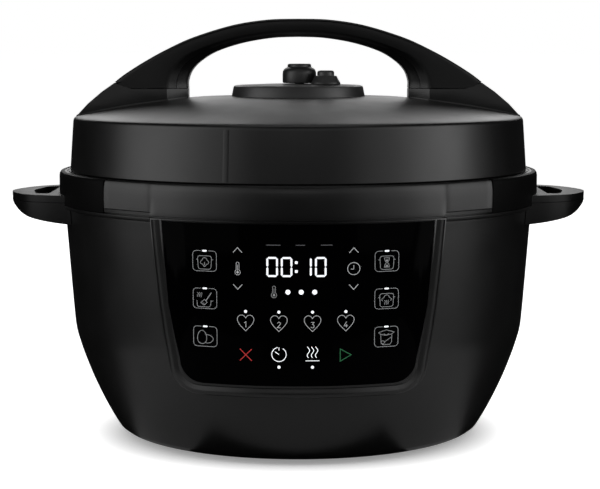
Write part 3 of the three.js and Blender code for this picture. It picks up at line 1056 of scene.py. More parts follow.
# ------------------------------------------------------------- control panel
@dataclass
class ControlPanel:
    """Raised frame and black glass on the front of the bowl."""

    finishes: Finishes
    slope: float = 0.078
    radius: float = 161.0
    at_height: float = 60.0
    crest: tuple[Point2, ...] = ((2.9, -1.2), (2.5, 0.0), (1.6, 0.8), (0.5, 1.15), (-0.6, 1.0),
                                 (-1.8, 0.5), (-3.2, 0.1), (-3.4, -1.2))

    def face(self, height: float) -> float:
        """Radius of the panel's face at a height."""
        return self.radius + (height - self.at_height) * self.slope

    def outline(self, top: float, middle: float, low: float, z0: float, z1: float,
                corner: float) -> list[Point2]:
        """Panel outline seen from the front.

        Args:
            top: Half width at the upper edge.
            middle: Half width at mid height.
            low: Half width above the lower corners.
            z0: Lower edge.
            z1: Upper edge.
            corner: Lower corner radius.

        Returns:
            The outline, counter-clockwise.
        """
        right = [(low - corner, z0)]
        right += arc((low - corner, z0 + corner), corner, -75, 0, 7)
        right += [((low + middle) / 2 + 0.3, (z0 + corner + 109.5) / 2), (middle, 109.5),
                  ((middle + top) / 2 + 0.25, (109.5 + z1) / 2), (top, z1)]
        return right + [(-x, z) for x, z in reversed(right)]

    def build(self) -> None:
        """Build frame and glass."""
        grow = 0.3
        opening = self.outline(87 + grow, 83.2 + grow, 76 + grow, 60 - grow, 163.8 + grow, 14.8)
        front = self.outline(95.4, 90.2, 84.2, 51.4, 165.4, 20)
        z = self.at_height - 1.5
        frame = Shape().revolve([
            (152.6, 49.0), (self.face(z) - 0.3, z - 0.6), (self.face(z + 1), z + 1),
            (self.face(165.6), 165.6), (166.6, 165.6), (165.9, 160), (164.3, 139.7),
            (161.7, 104.8), (158.4, 74.1), (154.6, 60.9), (150.4, 49.0)], 480)
        self.trim(frame, front, opening, "panel_frame", Slot.TRIM, self.finishes.frame,
                  "panel_bezel", 2.2)
        pane = Shape().revolve([
            (self.face(50) - 1.5, 50), (self.face(50), 50), (self.face(170), 170),
            (self.face(170) - 1.5, 170)], 480)
        self.trim(pane, self.outline(87, 83.2, 76, 60, 163.8, 14.5), None, "panel_pane",
                  Slot.GLASS, self.finishes.glass, "control_panel_glass", 0.5)
        self.bead()

    def bead(self) -> None:
        """Raised crest that runs down both sides of the frame and along its foot."""
        outline = self.outline(92.2, 87.0, 81.0, 54.6, 164.6, 17.5)
        half = len(outline) // 2
        corners = outline[half:] + outline[:half]
        path: list[Vector] = []
        for a, b in zip(corners, corners[1:]):
            a, b = Vector(a), Vector(b)
            count = max(1, round((b - a).length / 4.0))
            path += [a.lerp(b, i / count) for i in range(count)]
        path.append(Vector(corners[-1]))
        rings = []
        for i, point in enumerate(path):
            along = (path[min(i + 1, len(path) - 1)] - path[max(i - 1, 0)]).normalized()
            out = Vector((along.y, -along.x))
            ring = []
            for across, lift in self.crest:
                x, z = point + out * across
                radius = self.face(z) + lift
                ring.append((x, -math.sqrt(radius * radius - x * x), z))
            rings.append(ring)
        Shape().loft(rings).finish("panel_frame_crest", Body.BASE, Slot.TRIM,
                                   self.finishes.body, smooth_angle=50.0)

    def trim(self, shell: Shape, outer: list[Point2], inner: list[Point2] | None, name: str,
             slot: Slot, finish: Material, node: str, edge: float) -> Piece:
        """Cut a turned shell to the panel outline.

        Args:
            shell: Turned shell.
            outer: Outline to keep inside of.
            inner: Opening to cut out, if any.
            name: Name of the piece.
            slot: Material slot.
            finish: Finish.
            node: Node it stands for.
            edge: Rounding of the rim.

        Returns:
            The piece.
        """
        made = shell.combined("INTERSECT", Shape().prism(outer, -190, -100, frontal))
        cuts = [Shape().prism(inner, -195, -90, frontal)] if inner else []
        return made.finish(name, Body.BASE, slot, finish, [node], bevel=edge, smooth_angle=30.0,
                           cuts=cuts)


class Mark:
    """Flat printed or lit marks laid on the panel face, built as one mesh."""

    LIFT = 0.12
    SHIFT = -1.5

    def __init__(self, panel: ControlPanel) -> None:
        """Start with no marks on the given panel."""
        self.panel = panel
        self.mesh = bmesh.new()

    def at(self, x: float, z: float) -> Vector:
        """Point on the panel face, slightly proud of it.

        Args:
            x: Distance across.
            z: Height.

        Returns:
            The point.
        """
        x += self.SHIFT
        radius = self.panel.face(z) + self.LIFT
        return Vector((x, -math.sqrt(radius * radius - x * x), z))

    def fill(self, outline: Sequence[Point2]) -> None:
        """Filled shape."""
        self.mesh.faces.new([self.mesh.verts.new(self.at(x, z)) for x, z in outline])

    def line(self, points: Sequence[Point2], width: float, closed: bool = False) -> None:
        """Line of constant width.

        Args:
            points: Points of the line.
            width: Line width.
            closed: Join the end to the start.
        """
        count = len(points)
        left, right = [], []
        for i, (x, z) in enumerate(points):
            before = points[i - 1] if i or closed else points[0]
            after = points[(i + 1) % count] if i < count - 1 or closed else points[-1]
            a = Vector((x - before[0], z - before[1]))
            b = Vector((after[0] - x, after[1] - z))
            a = a.normalized() if a.length > 1e-6 else b.normalized()
            b = b.normalized() if b.length > 1e-6 else a
            along = (a + b).normalized() if (a + b).length > 1e-3 else a
            side = Vector((-along.y, along.x))
            reach = width / 2 / max(0.5, side.dot(Vector((-a.y, a.x))))
            left.append(self.mesh.verts.new(self.at(x + side.x * reach, z + side.y * reach)))
            right.append(self.mesh.verts.new(self.at(x - side.x * reach, z - side.y * reach)))
        for i in range(count if closed else count - 1):
            j = (i + 1) % count
            self.mesh.faces.new((left[i], left[j], right[j], right[i]))

    def dot(self, x: float, z: float, radius: float) -> None:
        """Filled circle."""
        self.fill(arc((x, z), radius, 0, 345, 23))

    def finish(self, name: str, material: Material) -> Piece:
        """Give the marks a thin body and hand them to the panel.

        Args:
            name: Name of the piece.
            material: Finish.

        Returns:
            The piece.
        """
        bmesh.ops.recalc_face_normals(self.mesh, faces=self.mesh.faces)
        for face in self.mesh.faces:
            centre = face.calc_center_median()
            if face.normal.dot(Vector((centre.x, centre.y, 0))) < 0:
                face.normal_flip()
        sheet = list(self.mesh.faces)
        back = bmesh.ops.extrude_face_region(self.mesh, geom=sheet)
        for part in back["geom"]:
            if isinstance(part, bmesh.types.BMVert):
                flat = Vector((part.co.x, part.co.y, 0)).normalized()
                part.co += flat * 0.04
        bmesh.ops.scale(self.mesh, vec=(MM,) * 3, verts=self.mesh.verts)
        bmesh.ops.recalc_face_normals(self.mesh, faces=self.mesh.faces)
        data = bpy.data.meshes.new(name)
        self.mesh.to_mesh(data)
        self.mesh.free()
        piece = bpy.data.objects.new(name, data)
        bpy.context.scene.collection.objects.link(piece)
        piece.data.materials.append(material)
        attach(piece, Body.BASE.value)
        LOG.info("%s: %d faces on the panel", name, len(data.polygons))
        return piece


class Segment(Enum):
    """Bars of a seven-bar digit: centre across, centre up, and whether it lies flat."""

    TOP = (0.0, 1.0, True)
    UPPER_LEFT = (-0.5, 0.5, False)
    UPPER_RIGHT = (0.5, 0.5, False)
    MIDDLE = (0.0, 0.0, True)
    LOWER_LEFT = (-0.5, -0.5, False)
    LOWER_RIGHT = (0.5, -0.5, False)
    BOTTOM = (0.0, -1.0, True)


ZERO = tuple(s for s in Segment if s is not Segment.MIDDLE)
ONE = (Segment.UPPER_RIGHT, Segment.LOWER_RIGHT)


@dataclass
class Pen:
    """Draws on a mark round an origin of its own."""

    mark: Mark
    x: float
    z: float
    width: float = 0.31

    def spot(self, x: float, z: float) -> "Pen":
        """Same pen with its origin moved."""
        return Pen(self.mark, self.x + x, self.z + z, self.width)

    def line(self, points: Sequence[Point2], closed: bool = False, width: float = 0.0) -> None:
        """Line through points round the origin.

        Args:
            points: Points of the line.
            closed: Join the end to the start.
            width: Line width if it isn't the pen's.
        """
        self.mark.line([(self.x + u, self.z + v) for u, v in points], width or self.width, closed)

    def fill(self, points: Sequence[Point2]) -> None:
        """Filled shape round the origin."""
        self.mark.fill([(self.x + u, self.z + v) for u, v in points])

    def dot(self, x: float, z: float, radius: float) -> None:
        """Filled circle."""
        self.mark.dot(self.x + x, self.z + z, radius)

    def wave(self, x: float, z: float, height: float, width: float = 0.0) -> None:
        """Upright wavy line.

        Args:
            x: Centre across.
            z: Centre height.
            height: Height of the wave.
            width: Line width if it isn't the pen's.
        """
        swing, steps, turns = height * 0.11, 14, 1.15
        self.line([(x - swing * math.sin(i / steps * 2 * math.pi * turns),
                    z + (i / steps - 0.5) * height) for i in range(steps + 1)], False, width)

    def thermometer(self, half: float) -> None:
        """Bulb thermometer centred on the origin.

        Args:
            half: Half its height.
        """
        stem = arc((0, half - 0.9), 0.9, 0, 180, 8)
        bulb = arc((0, 1.7 - half), 1.7, 122, 418, 16)
        self.line(stem + bulb, True)
        self.line([(0, half - 1.6), (0, 1.7 - half)])
        self.dot(0, 1.7 - half, 0.75)

    def pot(self) -> None:
        """Pot outline with two lugs."""
        self.line(rounded([(-4.6, 3.6), (4.6, 3.6), (4.1, -5.0), (-4.1, -5.0)], [1.8] * 4), True)
        for side in (-1, 1):
            self.line([(side * 4.6, 1.2), (side * 5.5, 1.2)])

    def pot_steam(self) -> None:
        """Pot with a puff above a short stem."""
        self.pot()
        self.line(arc((-1.5, -0.6), 1.2, 110, 285, 8) + arc((0, -2.4), 0.9, 200, 340, 5)
                  + arc((1.5, -0.6), 1.2, -105, 70, 8) + arc((0, 0.9), 1.5, 10, 170, 8), True)
        self.line([(0, -0.4), (0, -2.6)])

    def pan(self) -> None:
        """Turner over an open pan, with heat waves."""
        self.line([(-5.2, -1.2), (-5.0, -4.6), (-4.2, -5.2), (2.6, -5.2), (3.6, -4.4),
                   (3.9, -1.2), (5.4, -1.2)])
        self.line([(-2.6, -2.4), (-0.6, -4.2), (1.4, -2.2), (-0.2, -0.4)], True)
        self.line([(0.6, -1.2), (4.2, 4.2)], width=0.5)
        self.line([(-1.4, -2.5), (-0.2, -3.6)], width=0.25)
        for i in range(3):
            self.wave(-4.6 + i * 1.2, 2.6, 3.0, 0.3)

    def eggs(self) -> None:
        """One upright egg in front of a lying one."""
        self.line([(-2.1 + 3.0 * math.cos(t) * (1 - 0.14 * math.sin(t)), 4.4 * math.sin(t) - 0.2)
                   for t in (math.radians(a) for a in range(0, 360, 12))], True)
        self.line([(2.0 + 3.2 * math.cos(t), 2.7 * math.sin(t) * (1 - 0.2 * math.cos(t)) - 1.3)
                   for t in (math.radians(a) for a in range(-128, 132, 12))])

    def pot_timer(self) -> None:
        """Pot with an hourglass."""
        self.pot()
        self.line([(-1.6, 2.4), (1.6, 2.4), (1.4, 0.9), (0.3, -0.6), (1.4, -2.1), (1.6, -3.6),
                   (-1.6, -3.6), (-1.4, -2.1), (-0.3, -0.6), (-1.4, 0.9)], True)
        self.fill([(-1.1, -3.3), (1.1, -3.3), (0.2, -2.0), (-0.2, -2.0)])
        self.fill([(-0.2, 0), (0.2, 0), (1.0, 1.2), (-1.0, 1.2)])

    def pot_cloud(self) -> None:
        """Pot with a hood of steam over three waves."""
        self.pot()
        self.line(arc((-2.2, -0.3), 0.9, 100, 250, 6)[::-1] + arc((0, 1.0), 1.7, 170, 10, 8)
                  + arc((2.2, -0.3), 0.9, 80, -70, 6))
        for i in (-1, 0, 1):
            self.wave(i * 1.1, -2.1, 2.8, 0.28)

    def rice(self) -> None:
        """Bowl heaped above its rim with a ladle across."""
        self.line([(-5.0, 3.0), (-2.8, 3.9), (0, 4.7), (2.8, 3.9), (5.0, 3.0), (3.4, 1.8),
                   (0, 1.2), (-3.4, 1.8)], True)
        self.line(arc((0, 2.9), 1.6, 200, 340, 8))
        self.line([(-3.6, 1.3), (-3.4, -3.4), (-2.2, -4.9), (2.2, -4.9), (3.4, -3.4), (3.6, 1.3)])
        self.line([(-1.2, -3.2), (3.2, -0.2)])
        self.line(arc((-2.3, -3.4), 1.1, 0, 350, 35), True)

    def clock_face(self, radius: float, start: float, end: float) -> None:
        """Open circle of a delay key, with its hands.

        Args:
            radius: Radius of the circle.
            start: First angle in degrees.
            end: Last angle in degrees.
        """
        self.line(arc((0, 0), radius, start, end, 24))
        self.line([(0, radius), (0, radius - 2.0)])
        self.line([(0, 0), (-2.5, 1.7)], width=0.5)
        self.line([(-3.3, 3.2), (-4.3, 1.6)])


@dataclass
class PanelArt:
    """Clock digits, key icons and dots shown through the glass."""

    finishes: Finishes
    panel: ControlPanel
    digit_half: Point2 = (3.05, 5.8)
    bar: float = 0.62
    clock_height: float = 137.0
    dash_height: float = 150.7
    level_height: float = 120.9
    stepper_x: float = 36.7
    stepper_height: float = 135.6
    key_x: float = 57.9
    key_half: Point2 = (7.65, 6.55)
    key_heights: tuple[float, float, float] = (139.7, 115.4, 90.6)
    favourite_x: tuple[float, float, float, float] = (-31.8, -10.65, 10.65, 31.8)
    favourite_height: float = 100.6
    lower_height: float = 79.8
    lower_lamp: float = 72.2
    bold: float = 0.46

    def build(self) -> None:
        """Draw everything."""
        white, grey, soft, faint = (Mark(self.panel) for _ in range(4))
        self.clock(white, grey, faint)
        self.steppers(soft)
        self.side_keys(white, grey)
        self.favourites(white, soft)
        self.lower_keys(white)
        for mark, name, material in ((white, "lit_marks", self.finishes.white_mark),
                                     (grey, "printed_icons", self.finishes.grey_mark),
                                     (soft, "soft_lit_icons", self.finishes.soft_mark),
                                     (faint, "stage_dashes", self.finishes.faint_mark)):
            mark.finish(name, material)
        self.cancel_and_start()

    def digit(self, mark: Mark, x: float, bars: Sequence[Segment]) -> None:
        """One seven-bar digit.

        Args:
            mark: Mark to draw on.
            x: Centre across.
            bars: Bars that are lit.
        """
        half_x, half_z = self.digit_half
        for bar in bars:
            across, up, flat = bar.value
            cx, cz = x + across * 2 * half_x, self.clock_height + up * half_z
            reach = (half_x if flat else half_z / 2) - 0.12
            thick = self.bar
            tips = [(-reach, 0), (-reach + thick, -thick), (reach - thick, -thick), (reach, 0),
                    (reach - thick, thick), (-reach + thick, thick)]
            mark.fill([(cx + u, cz + v) if flat else (cx - v, cz + u) for u, v in tips])

    def clock(self, white: Mark, grey: Mark, faint: Mark) -> None:
        """Four digits, their colon, the stage dashes and the heat-level row.

        Args:
            white: Lit marks.
            grey: Printed marks.
            faint: Marks that are barely seen while unlit.
        """
        for x, bars in ((-14.8, ZERO), (-5.7, ZERO), (6.5, ONE), (15.8, ZERO)):
            self.digit(white, x, bars)
        for dz in (-2.8, 2.9):
            white.fill(rectangle(-0.5, 1.3, self.clock_height + dz - 0.9,
                                 self.clock_height + dz + 0.9, 0.35, 2))
        for x, half in ((-14.1, 4.6), (3.0, 3.0), (19.5, 3.7)):
            faint.fill(rectangle(x - half, x + half, self.dash_height, self.dash_height + 0.5,
                                 0.2, 2))
        Pen(grey, -13.7, self.level_height + 0.1).thermometer(3.8)
        for x in (-4.9, 3.5, 12.0):
            white.dot(x, self.level_height, 1.6)

    def steppers(self, soft: Mark) -> None:
        """Temperature and time columns with their up and down arrows.

        Args:
            soft: Softly lit marks.
        """
        for side in (-1, 1):
            for z, rise in ((147.4, 1.6), (123.8, -1.6)):
                Pen(soft, side * self.stepper_x, z, 0.42).line([(-2.9, -rise), (0, rise),
                                                                (2.9, -rise)])
        Pen(soft, -self.stepper_x, self.stepper_height).thermometer(4.1)
        pen = Pen(soft, self.stepper_x, self.stepper_height, 0.38)
        pen.line(arc((0, 0), 3.9, 0, 350, 35), True)
        pen.line([(0, 2.2), (0, -0.3), (-1.8, -0.3)])

    def side_keys(self, white: Mark, grey: Mark) -> None:
        """Programme keys down both sides, each a rounded box with a lamp bar and an icon.

        Args:
            white: Lit marks.
            grey: Printed marks.
        """
        wide, high = self.key_half
        icons = ((-1, (Pen.pot_steam, Pen.pan, Pen.eggs)),
                 (1, (Pen.pot_timer, Pen.pot_cloud, Pen.rice)))
        for side, column in icons:
            for z, draw in zip(self.key_heights, column):
                key = Pen(grey, side * self.key_x, z)
                box = rectangle(-wide, wide, -high, high, 2.3, 4)
                start = next(i for i, p in enumerate(box) if p[1] > high - 0.05 and p[0] > 0)
                top = box[start + 1:] + box[:start + 1]
                key.line([(-2.5, high), *top, (2.5, high)])
                Pen(white, key.x, z).fill(rectangle(-1.5, 1.5, high - 0.55, high + 0.55, 0.5, 2))
                draw(key.spot(0, -0.3))

    def favourites(self, white: Mark, soft: Mark) -> None:
        """Four heart keys numbered one to four, each with a lamp.

        Args:
            white: Lit marks.
            soft: Softly lit marks.
        """
        numerals = (
            [[(-0.9, 0.9), (0.15, 1.7), (0.15, -1.9)]],
            [spline([(-1.0, 1.0), (0.0, 1.8), (1.0, 0.9), (-0.1, -0.8), (-1.1, -1.8)], 5)
             + [(1.1, -1.8)]],
            [[(-1.0, 1.7), (1.0, 1.7), (-0.1, 0.4)] + arc((-0.1, -0.75), 1.12, 80, -145, 12)],
            [[(0.5, 1.8), (-1.1, -0.9), (1.2, -0.9)], [(0.5, 0.2), (0.5, -1.9)]])
        half = spline([(0, 3.3), (1.3, 4.9), (3.4, 5.2), (5.2, 3.7), (5.4, 1.4), (4.0, -1.2),
                       (1.9, -3.5), (0, -5.4)], 4)
        heart = [(u * 0.96, v * 0.96) for u, v in half + [(-u, v) for u, v in half[-2:0:-1]]]
        for x, strokes in zip(self.favourite_x, numerals):
            pen = Pen(soft, x, self.favourite_height, 0.34)
            pen.line(heart, True)
            for stroke in strokes:
                pen.spot(0, -0.9).line(stroke, width=0.38)
            white.dot(x, self.favourite_height + 7.4, 0.98)

    def lower_keys(self, white: Mark) -> None:
        """Delay and keep-warm keys with their lamps.

        Args:
            white: Lit marks.
        """
        delay, warm = (Pen(white, x, self.lower_height, self.bold)
                       for x in self.favourite_x[1:3])
        delay.spot(0, 0.7).clock_face(4.6, 100, 418)
        for i in (-1, 0, 1):
            warm.wave(i * 2.6, 2.2, 7.2)
        warm.line([(-4.4, -3.4), (4.4, -3.4)], width=0.42)
        for key in (delay, warm):
            white.dot(key.x, self.lower_lamp, 1.0)

    def cancel_and_start(self) -> None:
        """Red cross and green triangle."""
        red, green = Mark(self.panel), Mark(self.panel)
        half = 3.8
        cancel = Pen(red, self.favourite_x[0], self.lower_height, 0.52)
        for turn in (1, -1):
            cancel.line([(-half, turn * half), (half, -turn * half)])
        red.finish("cancel_mark", self.finishes.red_mark)
        Pen(green, self.favourite_x[3], self.lower_height, 0.5).line(
            [(-3.5, 4.0), (-3.5, -4.0), (3.5, 0)], True)
        green.finish("start_mark", self.finishes.green_mark)


# ------------------------------------------------------------------- the lid
@dataclass
class Lid:
    """Lid cover, arched handle, its mounts and the valve platform."""

    finishes: Finishes
    arch_depth: float = 19.0
    hole: float = 44.0
    platform_top: float = 248.6
    valve_x: float = 0.8
    button_at: Point2 = (19.4, -14.0)
    float_at: Point2 = (-3.0, 27.0)
    DOME = ((162.2, 189.0), (162.0, 192.0), (161.1, 205.0), (159.9, 222.0), (159.7, 223.6),
            (159.4, 224.4), (158.8, 225.3), (157.8, 225.9), (156.2, 226.5), (150.0, 228.0),
            (139.0, 230.3), (128.0, 232.3), (114.0, 234.6), (100.0, 236.5), (87.0, 238.0),
            (75.0, 239.0), (60.0, 239.6), (46.0, 239.8))

    def build(self) -> None:
        """Build every piece."""
        self.cover()
        self.mounts()
        self.arch()
        self.underside()
        self.platform()
        self.guide_strip()

    def cover(self) -> None:
        """Domed cover with its rolled rim and three screw bosses inside."""
        inside = [(44.0, 239.4), (44.0, 237.3), (75, 236.5), (100, 234), (128, 229.8),
                  (150, 225.5), (155.4, 223.6), (156.9, 222.2), (157.4, 219.5), (159.7, 188.5),
                  (160.0, 188.3), (161.8, 188.3)]
        bosses = [Shape().revolve([(0, 200.6), (4.4, 200.6), (5.0, 201.2), (5.0, 234.0),
                                   (0, 234.0)], 32, at) for at in lid_screw_spots()]
        Shape().revolve(list(self.DOME) + inside, 240).finish(
            "lid_dome", Body.LID, Slot.BODY, self.finishes.lid, ["lid_cover"],
            smooth_angle=30.0, joins=bosses)

    def outer_curve(self, side: int = 1) -> list[Point2]:
        """Top line of the handle from its seam to the crown."""
        made = spline([(129.4, 250.1), (121.5, 256.1), (108, 264.6), (92.8, 272.9), (73.8, 281.5),
                       (46, 290.0), (21.4, 293.8), (0, 294.4)], 6)
        return [(side * x, z) for x, z in made]

    def rim_curve(self) -> list[Point2]:
        """Line where the handle's front face turns into its inner chamfer."""
        return spline([(92.5, 245.6), (92.0, 250.5), (88.6, 259.0), (81.0, 267.2), (68.0, 274.2),
                       (46.0, 281.2), (21.0, 285.3), (0, 286.0)], 6)

    def opening_curve(self) -> list[Point2]:
        """Edge of the finger opening."""
        return spline([(78.2, 245.6), (78.2, 250.8), (75.4, 258.2), (68.8, 265.0), (57.5, 271.7),
                       (39.0, 277.6), (18.0, 281.1), (0, 281.8)], 6)

    def station_rings(self, lines: Sequence[Sequence[Point2]],
                      depths: Sequence[float]) -> list[list[Point3]]:
        """Cross-sections across the arch, from the right seam over to the left one.

        Args:
            lines: Lines the section's corners follow, each with the same number of points.
            depths: Half depth of the section on each line.

        Returns:
            Rings of points.
        """
        rings = []
        for station in zip(*lines):
            ring = [(p[0], -d, p[1]) for p, d in zip(station, depths)]
            ring += [(p[0], d, p[1]) for p, d in reversed(list(zip(station, depths)))]
            rings.append(ring)
        mirrored = [[(-x, y, z) for x, y, z in ring] for ring in rings[-2::-1]]
        return rings + mirrored

    def blend(self, first: Sequence[Point2], last: Sequence[Point2], share: float
              ) -> list[Point2]:
        """Line part way between two lines."""
        return [(a[0] + (b[0] - a[0]) * share, a[1] + (b[1] - a[1]) * share)
                for a, b in zip(first, last)]

    def inward(self, line: Sequence[Point2], distance: float) -> list[Point2]:
        """Line moved towards the finger opening, its crown kept on the centre.

        Args:
            line: Line from the seam to the crown.
            distance: How far to move it.

        Returns:
            The moved line.
        """
        moved = outset(line, -distance)
        moved[-1] = (0.0, line[-1][1] - distance)
        moved[0] = (moved[0][0], line[0][1])
        return moved

    def arch(self) -> None:
        """Top shell of the carrying handle."""
        top, rim, opening = self.outer_curve(), self.rim_curve(), self.opening_curve()
        d = self.arch_depth
        c = 1.8
        lines, depths = [], []
        for angle in (0, 22, 45, 68, 90):
            t = math.radians(angle)
            lines.append(self.inward(top, c * (1 - math.cos(t))))
            depths.append(d - c * (1 - math.sin(t)))
        for share, foot in ((0.85, (123.6, 247.2)), (0.664, (117.0, 245.6)), (0.08, None)):
            line = self.blend(rim, top, share)
            line[0] = foot or line[0]
            lines.append(line)
            depths.append(d)
        for share, depth in ((0.05, d - 0.25), (0.12, d - 0.9), (0.45, d - 3.4)):
            lines.append(self.blend(rim, opening, share))
            depths.append(depth)
        lines.append(self.blend(rim, opening, 0.45))
        depths.append(1.0)
        Shape().loft(self.station_rings(lines, depths)).finish(
            "handle_arch_shell", Body.LID, Slot.BODY, self.finishes.body, ["handle_arch"],
            smooth_angle=38.0)

    def underside(self) -> None:
        """Inner strip of the handle, hollowed where it meets the arch."""
        rim, opening = self.rim_curve(), self.opening_curve()
        d = self.arch_depth
        lines = [self.blend(rim, opening, s) for s in (0.47, 0.47, 0.62, 0.80, 0.94, 0.99, 1.0)]
        depths = [1.0, d - 3.9, d - 5.6, d - 7.2, d - 8.4, d - 9.2, d - 10.4]
        Shape().loft(self.station_rings(lines, depths)).finish(
            "handle_inner_strip", Body.LID, Slot.TRIM, self.finishes.trim, ["handle_underside"],
            smooth_angle=38.0)

    def mounts(self) -> None:
        """Blocks on the dome that carry the ends of the arch."""
        for side, name in ((1, "right"), (-1, "left")):
            d = self.arch_depth
            outline = [(78.2, 245.2), (117.0, 245.2), (129.4, 249.6), (138.2, 243.5),
                       (148.2, 235.1), (155.6, 227.2), (158.2, 222.5), (150.0, 221.0),
                       (78.2, 230.0)]
            block = Shape().prism([(side * x, z) for x, z in outline], -d, d, frontal)
            hollow = Shape()
            for face in (-1, 1):
                corner = [(70.0, face * (d - 10.4)), (78.2, face * (d - 10.4)),
                          (92.5, face * (d + 0.0)), (94.5, face * (d + 3.0)),
                          (70.0, face * (d + 3.0))]
                hollow.prism([(side * x, y) for x, y in corner], 200.0, 260.0, upright)
            below = Shape().revolve([(0, 190), (161.5, 190)]
                                    + [(r - 1.2, z - 1.2) for r, z in self.DOME[3:]]
                                    + [(0, 238.8)], 160)
            block.finish(name + "_handle_base", Body.LID, Slot.BODY, self.finishes.body,
                         [name + "_handle_mount"], bevel=1.0, smooth_angle=24.0,
                         cuts=[hollow, below])
            self.flange(side, name)

    def flange(self, side: int, name: str) -> Piece:
        """Low flange on the dome along the foot of a handle base.

        Args:
            side: 1 for the right-hand side, -1 for the left.
            name: Side's name.

        Returns:
            The piece.
        """
        d = self.arch_depth + 1.1
        plan = [(79.0, -d + 9.6), (91.6, -d), (154.2, -d), (156.6, -d + 2.4), (156.6, d - 2.4),
                (154.2, d), (91.6, d), (79.0, d - 9.6)]
        foot = Shape().prism([(side * x, y) for x, y in plan], 205.0, 246.0, upright)
        rim = [(r, z) for r, z in self.DOME[6:]]
        above = Shape().revolve([(175.0, 222.0)] + [(r, z + 0.9) for r, z in rim]
                                + [(0, 240.7), (0, 300.0), (175.0, 300.0)], 160)
        below = Shape().revolve([(0, 190), (158.5, 190)] + [(r - 1.0, z - 0.8) for r, z in rim]
                                + [(0, 239.0)], 160)
        return foot.finish(name + "_handle_flange", Body.LID, Slot.BODY, self.finishes.lid,
                           smooth_angle=24.0, bevel=0.3, cuts=[above, below])

    def platform(self) -> None:
        """Round plateau under the valves, with a shallow ring groove round its top."""
        top = self.platform_top
        profile = [(0.0, 245.8), (41.0, 244.6), (44.6, 240.3), (47.2, 239.5), (47.5, 239.8),
                   (47.4, 240.5), (46.3, 246.0), (45.9, 246.9), (45.2, 247.4), (44.2, 247.6),
                   (41.4, 247.7), (41.0, 247.2), (40.2, 247.2), (39.8, 247.8), (25.0, 248.4),
                   (0.0, top)]
        x, y = self.button_at
        fx, fy = self.float_at
        cup = Shape().revolve([(0, 239.6), (8.8, 239.6), (8.8, 246.2), (0, 246.2)], 48, (x, y))
        holes = [Shape().revolve([(0, 230), (4.2, 230), (4.2, 262), (0, 262)], 40,
                                 (self.valve_x, 0)),
                 Shape().revolve([(0, 241), (6.6, 241), (6.6, 262), (0, 262)], 48, (x, y)),
                 Shape().revolve([(0, 230), (2.6, 230), (2.6, 262), (0, 262)], 32, (x, y)),
                 Shape().revolve([(0, 230), (3.2, 230), (3.2, 262), (0, 262)], 40, (fx, fy))]
        # The plateau takes the lighter valve finish, whose grey is painted light.
        Shape().revolve(profile, 160).finish(
            "valve_plateau", Body.LID, Slot.TRIM, self.finishes.valve, ["valve_platform"],
            smooth_angle=30.0, joins=[cup], cuts=holes)

    def guide_strip(self) -> None:
        """Slim upright alignment rib on the front of the lid's wall."""
        made = []
        for z in (189.6, 192.0, 205.0, 221.4, 222.6):
            radius = 162.2 - (z - 188.3) * 0.0705
            ring = []
            for angle, lift in ((-17.15, -0.6), (-17.15, 0.22), (-16.95, 0.32), (-16.05, 0.32),
                                (-15.85, 0.22), (-15.85, -0.6)):
                t = math.radians(angle)
                ring.append(((radius + lift) * math.sin(t), -(radius + lift) * math.cos(t), z))
            made.append(ring)
        Shape().loft(made).finish("lid_guide_rib", Body.LID, Slot.BODY, self.finishes.lid,
                                  smooth_angle=30.0)


def lid_screw_spots() -> list[Point2]:
    """Centres of the inner lid's screws."""
    turns = (math.radians(a) for a in (90, 210, 330))
    return [(110.0 * math.cos(t), 110.0 * math.sin(t)) for t in turns]


def coil_spring(name: str, at: Point2, radius: float, wire: float, z0: float, z1: float,
                turns: int, body: Body, material: Material, node: str
                ) -> Piece:
    """Coil spring standing between two heights.

    Args:
        name: Name of the piece.
        at: Centre in plan.
        radius: Coil radius.
        wire: Wire radius.
        z0: Lowest wire centre.
        z1: Highest wire centre.
        turns: Number of turns.
        body: Body it rides on.
        material: Finish.
        node: Node it stands for.

    Returns:
        The piece.
    """
    rings = []
    steps = turns * 28
    for i in range(steps + 1):
        turn = 2 * math.pi * i / 28
        out = Vector((math.cos(turn), math.sin(turn), 0))
        centre = Vector((at[0], at[1], z0 + (z1 - z0) * i / steps)) + out * radius
        rings.append([tuple(centre + out * wire * math.cos(a) + Vector((0, 0, wire * math.sin(a))))
                      for a in (math.pi * k / 4 for k in range(8))])
    return Shape().loft(rings).finish(name, body, Slot.STEEL, material, [node])


